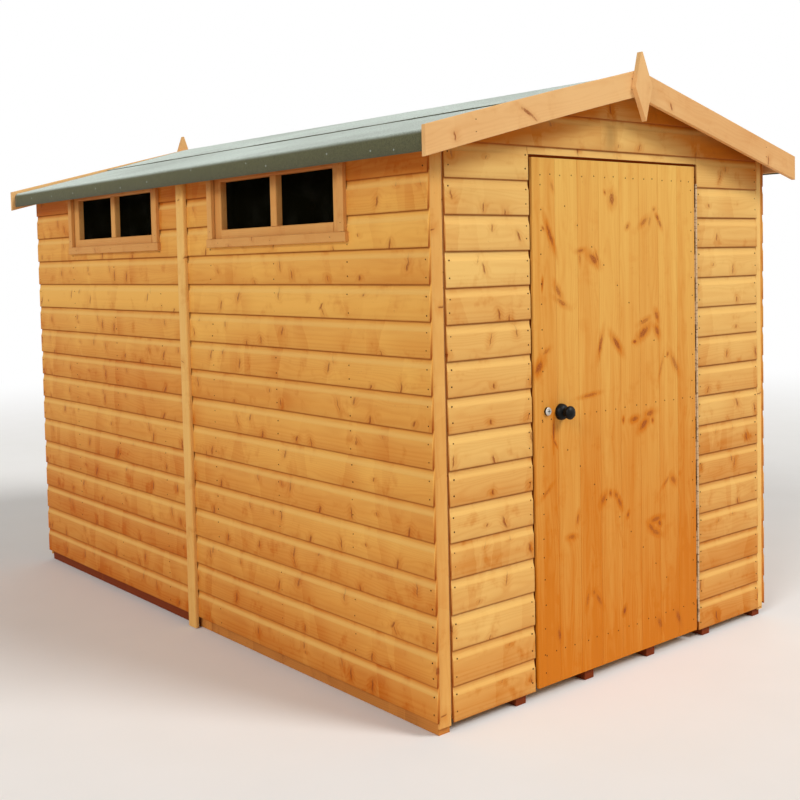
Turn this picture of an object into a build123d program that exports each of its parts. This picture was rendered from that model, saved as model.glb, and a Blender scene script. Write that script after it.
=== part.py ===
from build123d import *
import math
import os

# Timber garden shed with an apex felt roof, a boarded door in the front gable and
# two high windows in the left wall. Sizes are in millimetres. X runs across the
# gables, Y from the front gable to the back one, and Z up. The origin is on the
# ground under the middle of the roof.

os.makedirs("parts", exist_ok=True)

# Walls, measured over the faces of their boards
wall_width = 1848.0
wall_length = 2973.0
board_thickness = 12.0
board_pitch = 115.0
cove_depth = 5.5
cove_height = 26.0
cove_flat = 6.0
side_boards_bottom = 47.0
gable_boards_bottom = 33.0

# Gaps between the gable boards and the outer faces of the side boards
left_gable_inset = 74.0
right_gable_inset = 46.0

# Corner strips and the strips over the joints of the side walls
corner_strip_recess = 3.0
corner_strip_bottom = 26.0
left_corner_strip_width = 51.0
right_corner_strip_width = 33.5
joint_strip_width = 58.0
joint_strip_thickness = 17.0
joint_strip_bottom = 4.0
panel_joint = 1.0

# Framing timber inside the boards
stud = 38.0
door_post_width = 50.0

# Floor and bearers
bearer_count = 6
bearer_width = 48.0
bearer_height = 45.0
bearer_inset = 3.0
floor_thickness = 12.0
floor_clearance = 3.0
floor_joint = 20.0

# Roof
ridge_height = 2150.0
roof_pitch = 14.4
deck_thickness = 12.0
felt_thickness = 3.0
felt_seat = 0.3
eaves_overhang = 75.0
gable_overhang = 76.0
eaves_radius = 11.0
ridge_felt_radius = 20.0
eaves_rail_thickness = 28.0
eaves_rail_depth = 45.0
felt_drop_lap = 5.0
lower_felt_top_gap = 120.0
ridge_felt_half_width = 500.0
verge_batten_thickness = 28.0
verge_batten_depth = 24.0
ridge_beam_depth = 70.0
purlin_offset = 470.0
purlin_depth = 55.0

# Bargeboards and finials
bargeboard_width = 91.0
bargeboard_thickness = 16.0
bargeboard_reach = 86.0
bargeboard_rise = 10.0
finial_drop = 61.0
finial_half_height = 120.0
finial_half_width = 47.0
finial_tip_width = 8.0
finial_thickness = 18.0
front_finial_lean = 5.0
front_finial_offset = 4.0

# Windows of the left wall: distance of each centre from the middle of the wall,
# and the gap from the top of the frame to the underside of the roof
front_window_offset = 650.0
back_window_offset = 636.0
pane_width = 340.0
pane_height = 184.0
window_eaves_gap = 34.5
mullion_width = 38.0
window_side_width = 52.0
window_sill_height = 43.0
window_head_height = 36.0
window_frame_recess = 2.0
glass_thickness = 4.0
glass_setback = 27.0
glass_rebate = 6.0
glass_clearance = 0.3
trim_width = 33.0
trim_thickness = 16.0
trim_lap = 8.0
sill_trim_ear = 8.0

# Door, its gaps in the opening, its drop from the ridge and its hinge
door_left_edge = -461.0
door_width = 905.0
door_bottom = 42.0
door_ridge_drop = 315.0
door_thickness = 12.0
door_proud = 5.0
door_board_count = 8
door_groove = 1.6
door_left_gap = 8.4
door_right_gap = 21.5
door_head_gap = 10.0
door_stop_lap = 14.0
ledge_height = 95.0
ledge_thickness = 22.0
ledge_clearance = 6.0
lowest_ledge_rise = 108.0
top_ledge_drop = 70.0
knob_above_ledge = 9.0
brace_width = 95.0
brace_end_inset = 60.0
hinge_pin_radius = 1.6
hinge_pin_clearance = 0.05
hinge_barrel_radius = 4.0
hinge_leaf_thickness = 1.5
hinge_pin_gap = 11.5
hinge_top_gap = 65.0
hinge_bottom_gap = 30.0
hinge_knuckle_count = 19
hinge_knuckle_gap = 0.4
hinge_seat = 0.3

# Knob and lock of the door
knob_x = -333.0
knob_height = 975.0
knob_rose_radius = 28.5
knob_rose_edge = 4.0
knob_rose_depth = 22.0
knob_neck_radius = 15.0
knob_head_radius = 23.5
knob_head_thickness = 28.0
knob_head_reach = 42.0
knob_rim_radius = 8.5
lock_offset = 69.0
lock_rise = 8.0
lock_radius = 14.0
lock_depth = 10.0

# Values worked out from the sizes above
half_width = wall_width / 2
half_length = wall_length / 2
floor_top = bearer_height + floor_thickness
frame_inner = board_thickness + stud
front_face = -half_length
roof_slope = math.tan(math.radians(roof_pitch))
vertical_share = 1 / math.cos(math.radians(roof_pitch))
felt_rise = (felt_thickness + felt_seat) * vertical_share
deck_rise = deck_thickness * vertical_share
deck_top_at_ridge = ridge_height - 2 * felt_rise
roof_half_length = half_length + gable_overhang
eaves_x = half_width + eaves_overhang
panel_end = half_length - board_thickness
eaves_height = deck_top_at_ridge - deck_rise - roof_slope * half_width
window_top = eaves_height - window_eaves_gap
pane_top = window_top - window_head_height
pane_bottom = pane_top - pane_height
window_bottom = pane_bottom - window_sill_height
window_half = mullion_width / 2 + pane_width + window_side_width
door_right_edge = door_left_edge + door_width
door_top = ridge_height - door_ridge_drop
door_height = door_top - door_bottom
opening_left = door_left_edge - door_left_gap
opening_right = door_right_edge + door_right_gap
opening_top = door_top + door_head_gap
door_front = front_face - door_proud
door_back = door_front + door_thickness
post_left_edge = door_left_edge + door_stop_lap
post_right_edge = door_right_edge - door_stop_lap
head_rail_bottom = door_top - door_stop_lap
head_rail_top = head_rail_bottom + stud
barge_peak = ridge_height + bargeboard_rise
finial_centre_height = barge_peak - finial_drop
middle_ledge = knob_height - knob_above_ledge
ledge_centres = (door_bottom + lowest_ledge_rise, middle_ledge, door_top - top_ledge_drop)


def deck_top(x):
    """Height of the deck's upper face at distance x from the middle."""
    return deck_top_at_ridge - roof_slope * abs(x)


def under_roof(x):
    """Height of the deck's underside at distance x from the middle."""
    return deck_top(x) - deck_rise


def block(x_range, y_range, z_range):
    """Rectangular timber between the given pairs of coordinates."""
    sizes = [high - low for low, high in (x_range, y_range, z_range)]
    centre = [(low + high) / 2 for low, high in (x_range, y_range, z_range)]
    return Pos(*centre) * Box(*sizes)


def around(centre, width):
    """Pair of coordinates either side of a centre."""
    return (centre - width / 2, centre + width / 2)


def along_y(points, y_range):
    """Prism along Y from an outline given as (x, z) points."""
    face = make_face(Polyline(*points, close=True))
    low, high = y_range
    return Pos(0, low, 0) * extrude(Plane.XZ * face, amount=low - high)


def save(name, *solids):
    """Write one node's solids to its own file."""
    shapes = [solid for item in solids for solid in item.solids()]
    shape = shapes[0] if len(shapes) == 1 else Compound(children=shapes)
    shape.label = name
    export_step(shape, "parts/" + name + ".step")


def mirrored(solid):
    """The same piece on the other side of the shed's middle plane."""
    return mirror(solid, about=Plane.YZ)


def turned_back(solid):
    """The same piece in the other half of the length, mirrored front to back."""
    return mirror(solid, about=Plane.XZ)


def shiplap(bottom, top, length):
    """Stacked boards with outer face on x = 0, running from y = 0 to the length.

    Each board has a flat face and a cove at its upper edge, under the square lower
    edge of the next board. The stack goes on to the first lap at or above the top.
    """
    radius = (cove_depth**2 + cove_height**2) / (2 * cove_depth)
    half_turn = math.asin(cove_height / radius) / 2
    edges = []
    count = math.ceil((top - bottom) / board_pitch)
    for index in range(count):
        foot = bottom + index * board_pitch
        lap = foot + board_pitch
        arc_top = lap - cove_flat
        arc_foot = arc_top - cove_height
        middle = (cove_depth - radius * (1 - math.cos(half_turn)), arc_top - radius * math.sin(half_turn))
        if index > 0:
            edges.append(Line((cove_depth, foot), (0, foot)))
        edges.append(Line((0, foot), (0, arc_foot)))
        edges.append(ThreePointArc((0, arc_foot), middle, (cove_depth, arc_top)))
        edges.append(Line((cove_depth, arc_top), (cove_depth, lap)))
    edges.append(Line((cove_depth, lap), (board_thickness, lap)))
    edges.append(Line((board_thickness, lap), (board_thickness, bottom)))
    edges.append(Line((board_thickness, bottom), (0, bottom)))
    face = make_face(edges)
    return extrude(Plane.XZ * face, amount=-length)


def side_boards(y_range, z_range):
    """Boards of the left wall between the given limits, up to the roof at most."""
    low, high = y_range
    bottom, top = z_range
    stack = Pos(-half_width, low, 0) * shiplap(side_boards_bottom, top, high - low)
    inner = half_width - board_thickness
    outline = [
        (-half_width, bottom),
        (-half_width, min(top, under_roof(half_width))),
        (-inner, min(top, under_roof(inner))),
        (-inner, bottom),
    ]
    return stack & along_y(outline, y_range)


def gable_boards(x_range, z_range):
    """Boards of the front gable between the given limits, up to the roof at most."""
    low, high = x_range
    bottom, top = z_range
    stack = Rot(0, 0, 90) * shiplap(gable_boards_bottom, top, high - low)
    stack = Pos(high, front_face, 0) * stack
    outline = [(low, bottom), (low, min(top, under_roof(low)))]
    if top > under_roof(low):
        outline.append((0, under_roof(0)))
    outline.append((high, min(top, under_roof(high))))
    outline.append((high, bottom))
    return stack & along_y(outline, (front_face, front_face + board_thickness))


def sloped_member(x_range, depth, y_range):
    """Timber under the deck, its top cut to the slope and its underside parallel to it."""
    low, high = x_range
    points = [
        (low, under_roof(low)),
        (high, under_roof(high)),
        (high, under_roof(high) - depth),
        (low, under_roof(low) - depth),
    ]
    return along_y(points, y_range)


# Floor: two halves of boards on lengthwise bearers
floor_half_width = half_width - board_thickness - floor_clearance
floor_half_length = half_length - board_thickness - floor_clearance
floor_half = (-floor_half_length, -floor_joint / 2)
floor_across = (-floor_half_width, floor_half_width)
floor_front = block(floor_across, floor_half, (bearer_height, floor_top))
save("floor", floor_front, turned_back(floor_front))

first_bearer = -floor_half_width + bearer_inset + bearer_width / 2
bearer_step = -2 * first_bearer / (bearer_count - 1)
bearers = []
for index in range(bearer_count):
    centre = first_bearer + index * bearer_step
    bearer = block(around(centre, bearer_width), floor_half, (0, bearer_height))
    bearers.extend([bearer, turned_back(bearer)])
save("bearers", *bearers)

# Side walls: boards
roof_line = ridge_height
half_wall = (-half_length, -panel_joint / 2)
right_wall_front = mirrored(side_boards(half_wall, (side_boards_bottom, roof_line)))
save("right_wall_front", right_wall_front)
save("right_wall_back", turned_back(right_wall_front))
left_lower = side_boards(half_wall, (side_boards_bottom, window_bottom))
save("left_wall_lower_front", left_lower)
save("left_wall_lower_back", turned_back(left_lower))

# Side walls: boards beside and over the windows
window_centres = (-front_window_offset, back_window_offset)
pier_ranges = [
    (-half_length, window_centres[0] - window_half),
    (window_centres[0] + window_half, -panel_joint / 2),
    (panel_joint / 2, window_centres[1] - window_half),
    (window_centres[1] + window_half, half_length),
]
piers = [side_boards(span, (window_bottom, roof_line)) for span in pier_ranges]
save("left_wall_window_piers", *piers)
heads = []
for centre in window_centres:
    span = around(centre, 2 * window_half)
    heads.append(side_boards(span, (window_top, roof_line)))
save("left_wall_window_heads", *heads)

# Gables: boards
gable_left = -half_width + left_gable_inset
gable_right = half_width - right_gable_inset
save("front_wall_left", gable_boards((gable_left, opening_left), (gable_boards_bottom, opening_top)))
save("front_wall_right", gable_boards((opening_right, gable_right), (gable_boards_bottom, opening_top)))
save("front_wall_top", gable_boards((gable_left, gable_right), (opening_top, roof_line)))
back_wall = gable_boards((gable_left, gable_right), (gable_boards_bottom, roof_line))
save("back_wall", turned_back(back_wall))

# Corner strips beside the gable boards
strip_depth = (front_face + corner_strip_recess, front_face + board_thickness)
strip_left_edge = -half_width + board_thickness
strip_right_edge = half_width - board_thickness
corner_strips = []
for span in (
    (strip_left_edge, strip_left_edge + left_corner_strip_width),
    (strip_right_edge - right_corner_strip_width, strip_right_edge),
):
    outline = [
        (span[0], corner_strip_bottom),
        (span[0], under_roof(span[0])),
        (span[1], under_roof(span[1])),
        (span[1], corner_strip_bottom),
    ]
    strip = along_y(outline, strip_depth)
    corner_strips.append(strip)
    corner_strips.append(turned_back(strip))
save("corner_strips", *corner_strips)

# Strips over the joints between the halves of the side walls
strip_outer = half_width + joint_strip_thickness
joint_outline = [
    (-strip_outer, joint_strip_bottom),
    (-strip_outer, under_roof(strip_outer)),
    (-half_width, under_roof(half_width)),
    (-half_width, joint_strip_bottom),
]
joint_strip = along_y(joint_outline, (-joint_strip_width / 2, joint_strip_width / 2))
save("joint_strips", joint_strip, mirrored(joint_strip))

# Framing: bottom rails on the floor
frame_x = (-half_width + board_thickness, -half_width + frame_inner)
frame_y = (-half_length + board_thickness, -half_length + frame_inner)
rail_z = (floor_top, floor_top + stud)
inner_half = half_width - frame_inner
side_panels = ((-panel_end, -panel_joint / 2), (panel_joint / 2, panel_end))
bottom_rails = []
for span in side_panels:
    rail = block(frame_x, span, rail_z)
    bottom_rails.append(rail)
    bottom_rails.append(mirrored(rail))
post_left = (post_left_edge - door_post_width, post_left_edge)
post_right = (post_right_edge, post_right_edge + door_post_width)
bottom_rails.append(block((-inner_half, post_left[0]), frame_y, rail_z))
bottom_rails.append(block((post_right[1], inner_half), frame_y, rail_z))
bottom_rails.append(turned_back(block((-inner_half, inner_half), frame_y, rail_z)))
save("bottom_rails", *bottom_rails)

# Framing: rails under the roof, along the walls and up the gables
top_rails = []
for span in side_panels:
    outline = [
        (frame_x[0], window_top),
        (frame_x[0], under_roof(frame_x[0])),
        (frame_x[1], under_roof(frame_x[1])),
        (frame_x[1], window_top),
    ]
    rail = along_y(outline, span)
    top_rails.append(rail)
    top_rails.append(mirrored(rail))
save("wall_plates", *top_rails)
raking_depth = stud * vertical_share
raking = sloped_member((-inner_half, -panel_joint / 2), raking_depth, frame_y)
raking_rails = [raking, mirrored(raking), turned_back(raking), turned_back(mirrored(raking))]
save("gable_raking_rails", *raking_rails)


def stud_between(x_range, y_range, top):
    """Upright from the bottom rail to a given height."""
    return block(x_range, y_range, (floor_top + stud, top))


def side_studs(offsets):
    """Uprights of the left wall at the given places along it."""
    return [stud_between(frame_x, around(place, stud), window_top) for place in offsets]


# Framing: uprights of the side walls
end_stud = panel_end - stud / 2
joint_stud = (stud + panel_joint) / 2
third_studs = [joint_stud + (end_stud - joint_stud) * share for share in (1 / 3, 2 / 3)]
right_places = [sign * place for sign in (-1, 1) for place in [joint_stud, *third_studs, end_stud]]
save("right_wall_studs", *[mirrored(piece) for piece in side_studs(right_places)])
left_places = [-end_stud, -joint_stud, joint_stud, end_stud]
sill_rails = []
left_studs = []
for centre in window_centres:
    beside = window_half + stud / 2
    left_places.extend([centre - beside, centre + beside])
    under_window = around(centre, 2 * window_half)
    sill_rails.append(block(frame_x, under_window, (window_bottom - stud, window_bottom)))
    left_studs.append(stud_between(frame_x, around(centre, stud), window_bottom - stud))
left_studs.extend(side_studs(left_places))
save("left_wall_studs", *left_studs)
save("window_sill_rails", *sill_rails)


def gable_stud(x_range, foot):
    """Upright of a gable from a height up to the raking rail, its top cut to the slope."""
    low, high = x_range
    points = [
        (low, foot),
        (low, under_roof(low) - raking_depth),
        (high, under_roof(high) - raking_depth),
        (high, foot),
    ]
    return along_y(points, frame_y)


# Framing: door posts, head and uprights of the gables
stud_foot = floor_top + stud
save("door_posts", gable_stud(post_left, floor_top), gable_stud(post_right, floor_top))
head_span = (post_left_edge, post_right_edge)
save("door_head", block(head_span, frame_y, (head_rail_bottom, head_rail_top)))
gable_end = inner_half - stud / 2
front_studs = [gable_stud(around(sign * gable_end, stud), stud_foot) for sign in (-1, 1)]
over_door = sum(head_span) / 2
front_studs.append(gable_stud(around(over_door + 4 * stud, stud), head_rail_top))
front_studs.append(gable_stud(around(over_door - 4 * stud, stud), head_rail_top))
save("front_gable_studs", *front_studs)
back_places = [-gable_end, -gable_end / 3, gable_end / 3, gable_end]
back_studs = [gable_stud(around(place, stud), stud_foot) for place in back_places]
save("back_gable_studs", *[turned_back(piece) for piece in back_studs])


def window_frame(centre):
    """Sill, head, sides and middle bar of one window, in one frame."""
    depth = (-half_width + window_frame_recess, -half_width + frame_inner)
    frame = block(depth, around(centre, 2 * window_half), (window_bottom, window_top))
    for sign in (-1, 1):
        pane_centre = centre + sign * (mullion_width + pane_width) / 2
        hole = block(depth, around(pane_centre, pane_width), (pane_bottom, pane_top))
        seat_x = (-half_width + window_frame_recess + glass_setback, depth[1])
        seat_width = pane_width + 2 * glass_rebate
        seat_z = (pane_bottom - glass_rebate, pane_top + glass_rebate)
        frame = frame - hole - block(seat_x, around(pane_centre, seat_width), seat_z)
    return frame


def window_panes(centre):
    """The two sheets of glass of one window, in their rebates."""
    outer = -half_width + window_frame_recess + glass_setback
    depth = (outer + glass_clearance, outer + glass_clearance + glass_thickness)
    edge = glass_rebate - glass_clearance
    panes = []
    for sign in (-1, 1):
        pane_centre = centre + sign * (mullion_width + pane_width) / 2
        width = pane_width + 2 * edge
        panes.append(block(depth, around(pane_centre, width), (pane_bottom - edge, pane_top + edge)))
    return panes


def window_trims(centre):
    """Sill trim and two side trims nailed over the edges of one window."""
    depth = (-half_width - trim_thickness, -half_width)
    inner = window_half - trim_lap
    outer = inner + trim_width
    sill_top = window_bottom + trim_lap
    sill_bottom = sill_top - trim_width
    sill = block(depth, around(centre, 2 * (outer + sill_trim_ear)), (sill_bottom, sill_top))
    sides = []
    for sign in (-1, 1):
        span = sorted((centre + sign * inner, centre + sign * outer))
        sides.append(block(depth, span, (sill_top + panel_joint, under_roof(half_width + trim_thickness))))
    return [sill, *sides]


# Windows
save("window_frame_front", window_frame(window_centres[0]))
save("window_frame_back", window_frame(window_centres[1]))
save("window_glass", *[pane for centre in window_centres for pane in window_panes(centre)])
save("window_trims", *[trim for centre in window_centres for trim in window_trims(centre)])

# Roof: deck on each slope, rounded at the eaves
roof_span = (-roof_half_length, roof_half_length)
deck_outline = [
    (0, deck_top(0)),
    (-eaves_x, deck_top(eaves_x)),
    (-eaves_x, under_roof(eaves_x)),
    (0, under_roof(0)),
]
deck_left = along_y(deck_outline, roof_span)
eaves_edge = deck_left.edges().filter_by(Axis.Y).group_by(Axis.X)[0].sort_by(Axis.Z)[-1]
deck_left = fillet(eaves_edge, radius=eaves_radius)
save("roof_deck_left", deck_left)
save("roof_deck_right", mirrored(deck_left))

# Roof: eaves rails, battens behind the bargeboards, ridge beam and purlins
rail_inner = eaves_x - eaves_rail_thickness
eaves_rail_bottom = under_roof(eaves_x) - eaves_rail_depth
rail_outline = [
    (-eaves_x, eaves_rail_bottom),
    (-eaves_x, under_roof(eaves_x)),
    (-rail_inner, under_roof(rail_inner)),
    (-rail_inner, eaves_rail_bottom),
]
eaves_rail = along_y(rail_outline, roof_span)
save("eaves_rails", eaves_rail, mirrored(eaves_rail))
batten_y = (-roof_half_length, -roof_half_length + verge_batten_depth)
batten = sloped_member((-rail_inner, -panel_joint / 2), verge_batten_thickness, batten_y)
battens = [batten, mirrored(batten), turned_back(batten), turned_back(mirrored(batten))]
save("verge_battens", *battens)
beam_span = (-half_length + frame_inner, half_length - frame_inner)
beam_half = stud / 2
beam_outline = [
    (-beam_half, under_roof(beam_half)),
    (0, under_roof(0)),
    (beam_half, under_roof(beam_half)),
    (beam_half, under_roof(0) - ridge_beam_depth),
    (-beam_half, under_roof(0) - ridge_beam_depth),
]
ridge_beam = along_y(beam_outline, beam_span)
purlin = sloped_member(around(-purlin_offset, stud), purlin_depth, beam_span)
save("ridge_beam_and_purlins", ridge_beam, purlin, mirrored(purlin))


def felt_surface(x, offset):
    """Height of a surface at a square distance above the deck."""
    return deck_top(x) + offset * vertical_share


def lower_felt():
    """Felt of the left slope, turned down over the rounded eaves."""
    inner_x = eaves_x + felt_seat
    outer_x = inner_x + felt_thickness
    outer_offset = felt_seat + felt_thickness
    top = -lower_felt_top_gap
    inner_corner = (-inner_x, felt_surface(inner_x, felt_seat))
    outer_corner = (-outer_x, felt_surface(outer_x, outer_offset))
    inner_top = (top, felt_surface(top, felt_seat))
    outer_top = (top, felt_surface(top, outer_offset))
    drop_bottom = eaves_rail_bottom - felt_drop_lap
    inner_foot = (-inner_x, drop_bottom)
    outer_foot = (-outer_x, drop_bottom)
    inner_radius = eaves_radius + felt_seat
    inner = FilletPolyline(inner_top, inner_corner, inner_foot, radius=inner_radius)
    outer = FilletPolyline(outer_foot, outer_corner, outer_top, radius=inner_radius + felt_thickness)
    face = make_face(inner + Line(inner_foot, outer_foot) + outer + Line(outer_top, inner_top))
    low, high = roof_span
    return Pos(0, low, 0) * extrude(Plane.XZ * face, amount=low - high)


def ridge_felt():
    """Felt sheet bent over the ridge, lying on the upper edges of the lower sheets."""
    reach = ridge_felt_half_width / vertical_share
    inner_offset = 2 * felt_seat + felt_thickness
    outer_offset = inner_offset + felt_thickness
    inner_points = [(side * reach, felt_surface(side * reach, inner_offset)) for side in (-1, 1)]
    outer_points = [(side * reach, felt_surface(side * reach, outer_offset)) for side in (1, -1)]
    inner_peak = (0, felt_surface(0, inner_offset))
    outer_peak = (0, felt_surface(0, outer_offset))
    outer_radius = ridge_felt_radius + felt_thickness
    inner = FilletPolyline(inner_points[0], inner_peak, inner_points[1], radius=ridge_felt_radius)
    outer = FilletPolyline(outer_points[0], outer_peak, outer_points[1], radius=outer_radius)
    ends = Line(inner_points[1], outer_points[0]) + Line(outer_points[1], inner_points[0])
    low, high = roof_span
    return Pos(0, low, 0) * extrude(Plane.XZ * make_face(inner + outer + ends), amount=low - high)


felt_left = lower_felt()
save("felt_left", felt_left)
save("felt_right", mirrored(felt_left))
save("felt_ridge", ridge_felt())

# Bargeboards, cut plumb at the ridge and at the eaves
barge_depth = bargeboard_width * vertical_share
barge_end = half_width + bargeboard_reach
barge_top = -panel_joint / 2
barge_outline = [
    (barge_top, barge_peak + roof_slope * barge_top),
    (-barge_end, barge_peak - roof_slope * barge_end),
    (-barge_end, barge_peak - roof_slope * barge_end - barge_depth),
    (barge_top, barge_peak + roof_slope * barge_top - barge_depth),
]
barge_y = (-roof_half_length - bargeboard_thickness, -roof_half_length)
bargeboard = along_y(barge_outline, barge_y)
save("front_bargeboards", bargeboard, mirrored(bargeboard))
save("back_bargeboards", turned_back(bargeboard), turned_back(mirrored(bargeboard)))

# Finials, kite-shaped with a flat tip
finial_outline = [
    (-finial_tip_width / 2, finial_half_height),
    (finial_tip_width / 2, finial_half_height),
    (finial_half_width, 0),
    (0, -finial_half_height),
    (-finial_half_width, 0),
]
finial_y = (barge_y[0] - finial_thickness, barge_y[0])
finial = along_y(finial_outline, finial_y)
front_finial = Pos(front_finial_offset, 0, finial_centre_height) * Rot(0, -front_finial_lean, 0) * finial
save("front_finial", front_finial)
save("back_finial", turned_back(Pos(0, 0, finial_centre_height) * finial))


def door_boards():
    """Upright boards of the door in one sheet, with a shallow groove at each joint."""
    step = door_width / door_board_count
    points = [(door_left_edge, door_front)]
    for index in range(1, door_board_count):
        joint = door_left_edge + index * step
        points.append((joint - door_groove, door_front))
        points.append((joint, door_front + door_groove))
        points.append((joint + door_groove, door_front))
    points.append((door_right_edge, door_front))
    points.append((door_right_edge, door_back))
    points.append((door_left_edge, door_back))
    face = make_face(Polyline(*points, close=True))
    return Pos(0, 0, door_bottom) * extrude(Plane.XY * face, amount=door_height)


# Door: boards, ledges across their back and braces between the ledges
save("door_boards", door_boards())
ledge_x = (post_left_edge + ledge_clearance, post_right_edge - ledge_clearance)
ledge_y = (door_back, door_back + ledge_thickness)
ledges = [block(ledge_x, ledge_y, around(centre, ledge_height)) for centre in ledge_centres]
save("door_ledges", *ledges)
braces = []
for lower, upper in zip(ledge_centres, ledge_centres[1:]):
    foot = lower + ledge_height / 2
    top = upper - ledge_height / 2
    low_x = ledge_x[1] - brace_end_inset
    high_x = ledge_x[0] + brace_end_inset
    run = low_x - high_x - brace_width
    brace_share = math.hypot(run, top - foot) / (top - foot)
    cut = brace_width * brace_share
    brace_outline = [(low_x - cut, foot), (low_x, foot), (high_x + cut, top), (high_x, top)]
    braces.append(along_y(brace_outline, ledge_y))
save("door_braces", *braces)

# Hinge along the right edge of the door
pin_x = door_right_edge + hinge_pin_gap
pin_y = front_face - hinge_barrel_radius - hinge_seat
hinge_foot = door_bottom + hinge_bottom_gap
hinge_top = door_top - hinge_top_gap
hinge_length = hinge_top - hinge_foot
knuckle_step = hinge_length / hinge_knuckle_count


def knuckle(index, bore):
    """One barrel segment of the hinge, solid where no bore is given."""
    length = knuckle_step - hinge_knuckle_gap
    centre = hinge_foot + (index + 0.5) * knuckle_step
    barrel = Pos(pin_x, pin_y, centre) * Cylinder(hinge_barrel_radius, length)
    if bore > 0:
        barrel = barrel - Pos(pin_x, pin_y, centre) * Cylinder(bore, length)
    return barrel


def leaf_web(index, edge_x):
    """Tab from a barrel segment to the leaf at the side of the gap."""
    length = knuckle_step - hinge_knuckle_gap
    centre = hinge_foot + (index + 0.5) * knuckle_step
    side = 1 if edge_x > pin_x else -1
    start = pin_x + side * (hinge_pin_radius + hinge_barrel_radius) / 2
    span = sorted((start, edge_x))
    y_low = pin_y + hinge_barrel_radius - hinge_leaf_thickness - hinge_seat
    return block(span, (y_low, y_low + hinge_leaf_thickness), around(centre, length))


leaf_start = pin_y + hinge_barrel_radius - hinge_leaf_thickness - hinge_seat
frame_leaf_x = (opening_right - hinge_seat - hinge_leaf_thickness, opening_right - hinge_seat)
frame_leaf_y = (leaf_start, front_face + board_thickness - hinge_seat)
frame_leaf = block(frame_leaf_x, frame_leaf_y, (hinge_foot, hinge_top))
for index in range(0, hinge_knuckle_count, 2):
    frame_leaf = frame_leaf + knuckle(index, 0) + leaf_web(index, frame_leaf_x[0])
pin = Pos(pin_x, pin_y, hinge_foot + hinge_length / 2) * Cylinder(hinge_pin_radius, hinge_length)
frame_leaf = frame_leaf + pin
save("frame_hinge_leaf", frame_leaf)
door_leaf_x = (door_right_edge + hinge_seat, door_right_edge + hinge_seat + hinge_leaf_thickness)
door_leaf = block(door_leaf_x, (leaf_start, door_back), (hinge_foot, hinge_top))
bore_radius = hinge_pin_radius + hinge_pin_clearance
for index in range(1, hinge_knuckle_count, 2):
    door_leaf = door_leaf + knuckle(index, bore_radius) + leaf_web(index, door_leaf_x[1])
save("door_hinge_leaf", door_leaf)

# Knob: a domed rose, a neck and a flattened ball, turned about its axis. The
# outline of the ball is a tight arc at the rim between two wide ones, the crowns.
knob_half_thickness = knob_head_thickness / 2
rim_centre = knob_head_radius - knob_rim_radius
rim_spare = knob_half_thickness - knob_rim_radius
crown_drop = (rim_centre**2 - rim_spare**2) / (2 * rim_spare)
crown_radius = knob_half_thickness + crown_drop
rim_angle = math.atan2(rim_centre, crown_drop)
neck_angle = math.asin(knob_neck_radius / crown_radius)


def on_crown(angle, side):
    across = crown_radius * math.sin(angle)
    along = crown_radius * math.cos(angle) - crown_drop
    return (across, knob_head_reach + side * along)


with BuildPart() as knob_builder:
    with BuildSketch(Plane.XZ):
        with BuildLine():
            axis_foot = (0, 0)
            rose_foot = (knob_rose_radius, 0)
            rose_side = (knob_rose_radius, knob_rose_edge)
            neck_foot = (knob_neck_radius, knob_rose_depth)
            neck_top = on_crown(neck_angle, -1)
            rim = (knob_head_radius, knob_head_reach)
            head_top = (0, knob_head_reach + knob_half_thickness)
            Line(axis_foot, rose_foot)
            Line(rose_foot, rose_side)
            TangentArc(rose_side, neck_foot, tangent=(0, 1))
            Line(neck_foot, neck_top)
            ThreePointArc(neck_top, on_crown((neck_angle + rim_angle) / 2, -1), on_crown(rim_angle, -1))
            ThreePointArc(on_crown(rim_angle, -1), rim, on_crown(rim_angle, 1))
            ThreePointArc(on_crown(rim_angle, 1), on_crown(rim_angle / 2, 1), head_top)
            Line(head_top, axis_foot)
        make_face()
    revolve(axis=Axis.Z)
knob = knob_builder.part
save("door_knob", Pos(knob_x, door_front, knob_height) * Rot(90, 0, 0) * knob)

# Lock: a round escutcheon with a keyhole slot
lock = Cylinder(lock_radius, lock_depth, align=(Align.CENTER, Align.CENTER, Align.MIN))
lock = chamfer(lock.edges().group_by(Axis.Z)[-1], length=lock_depth / 4)
slot = Pos(0, 0, lock_depth) * Box(lock_radius / 5, lock_radius, lock_depth)
cross_slot = Pos(0, 0, lock_depth) * Box(lock_radius, lock_radius / 5, lock_depth)
lock = lock - slot - cross_slot
save("door_lock", Pos(knob_x - lock_offset, door_front, knob_height + lock_rise) * Rot(90, 0, 0) * lock)

print("door hinge axis", round(pin_x, 3), round(pin_y, 3))
print("roof from", -roof_half_length, "to", roof_half_length, "eaves at", eaves_x)
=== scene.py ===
# Looks of a timber garden shed with an apex felt roof: its boards, framing, felt, windows and
# fittings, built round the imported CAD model. Sizes are in metres. X runs across the gables,
# Y from the door gable to the back one, and Z up, as in the CAD model.

import logging
import math
from dataclasses import dataclass
from enum import Enum

import bpy
import numpy as np
from mathutils import Matrix


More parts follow.
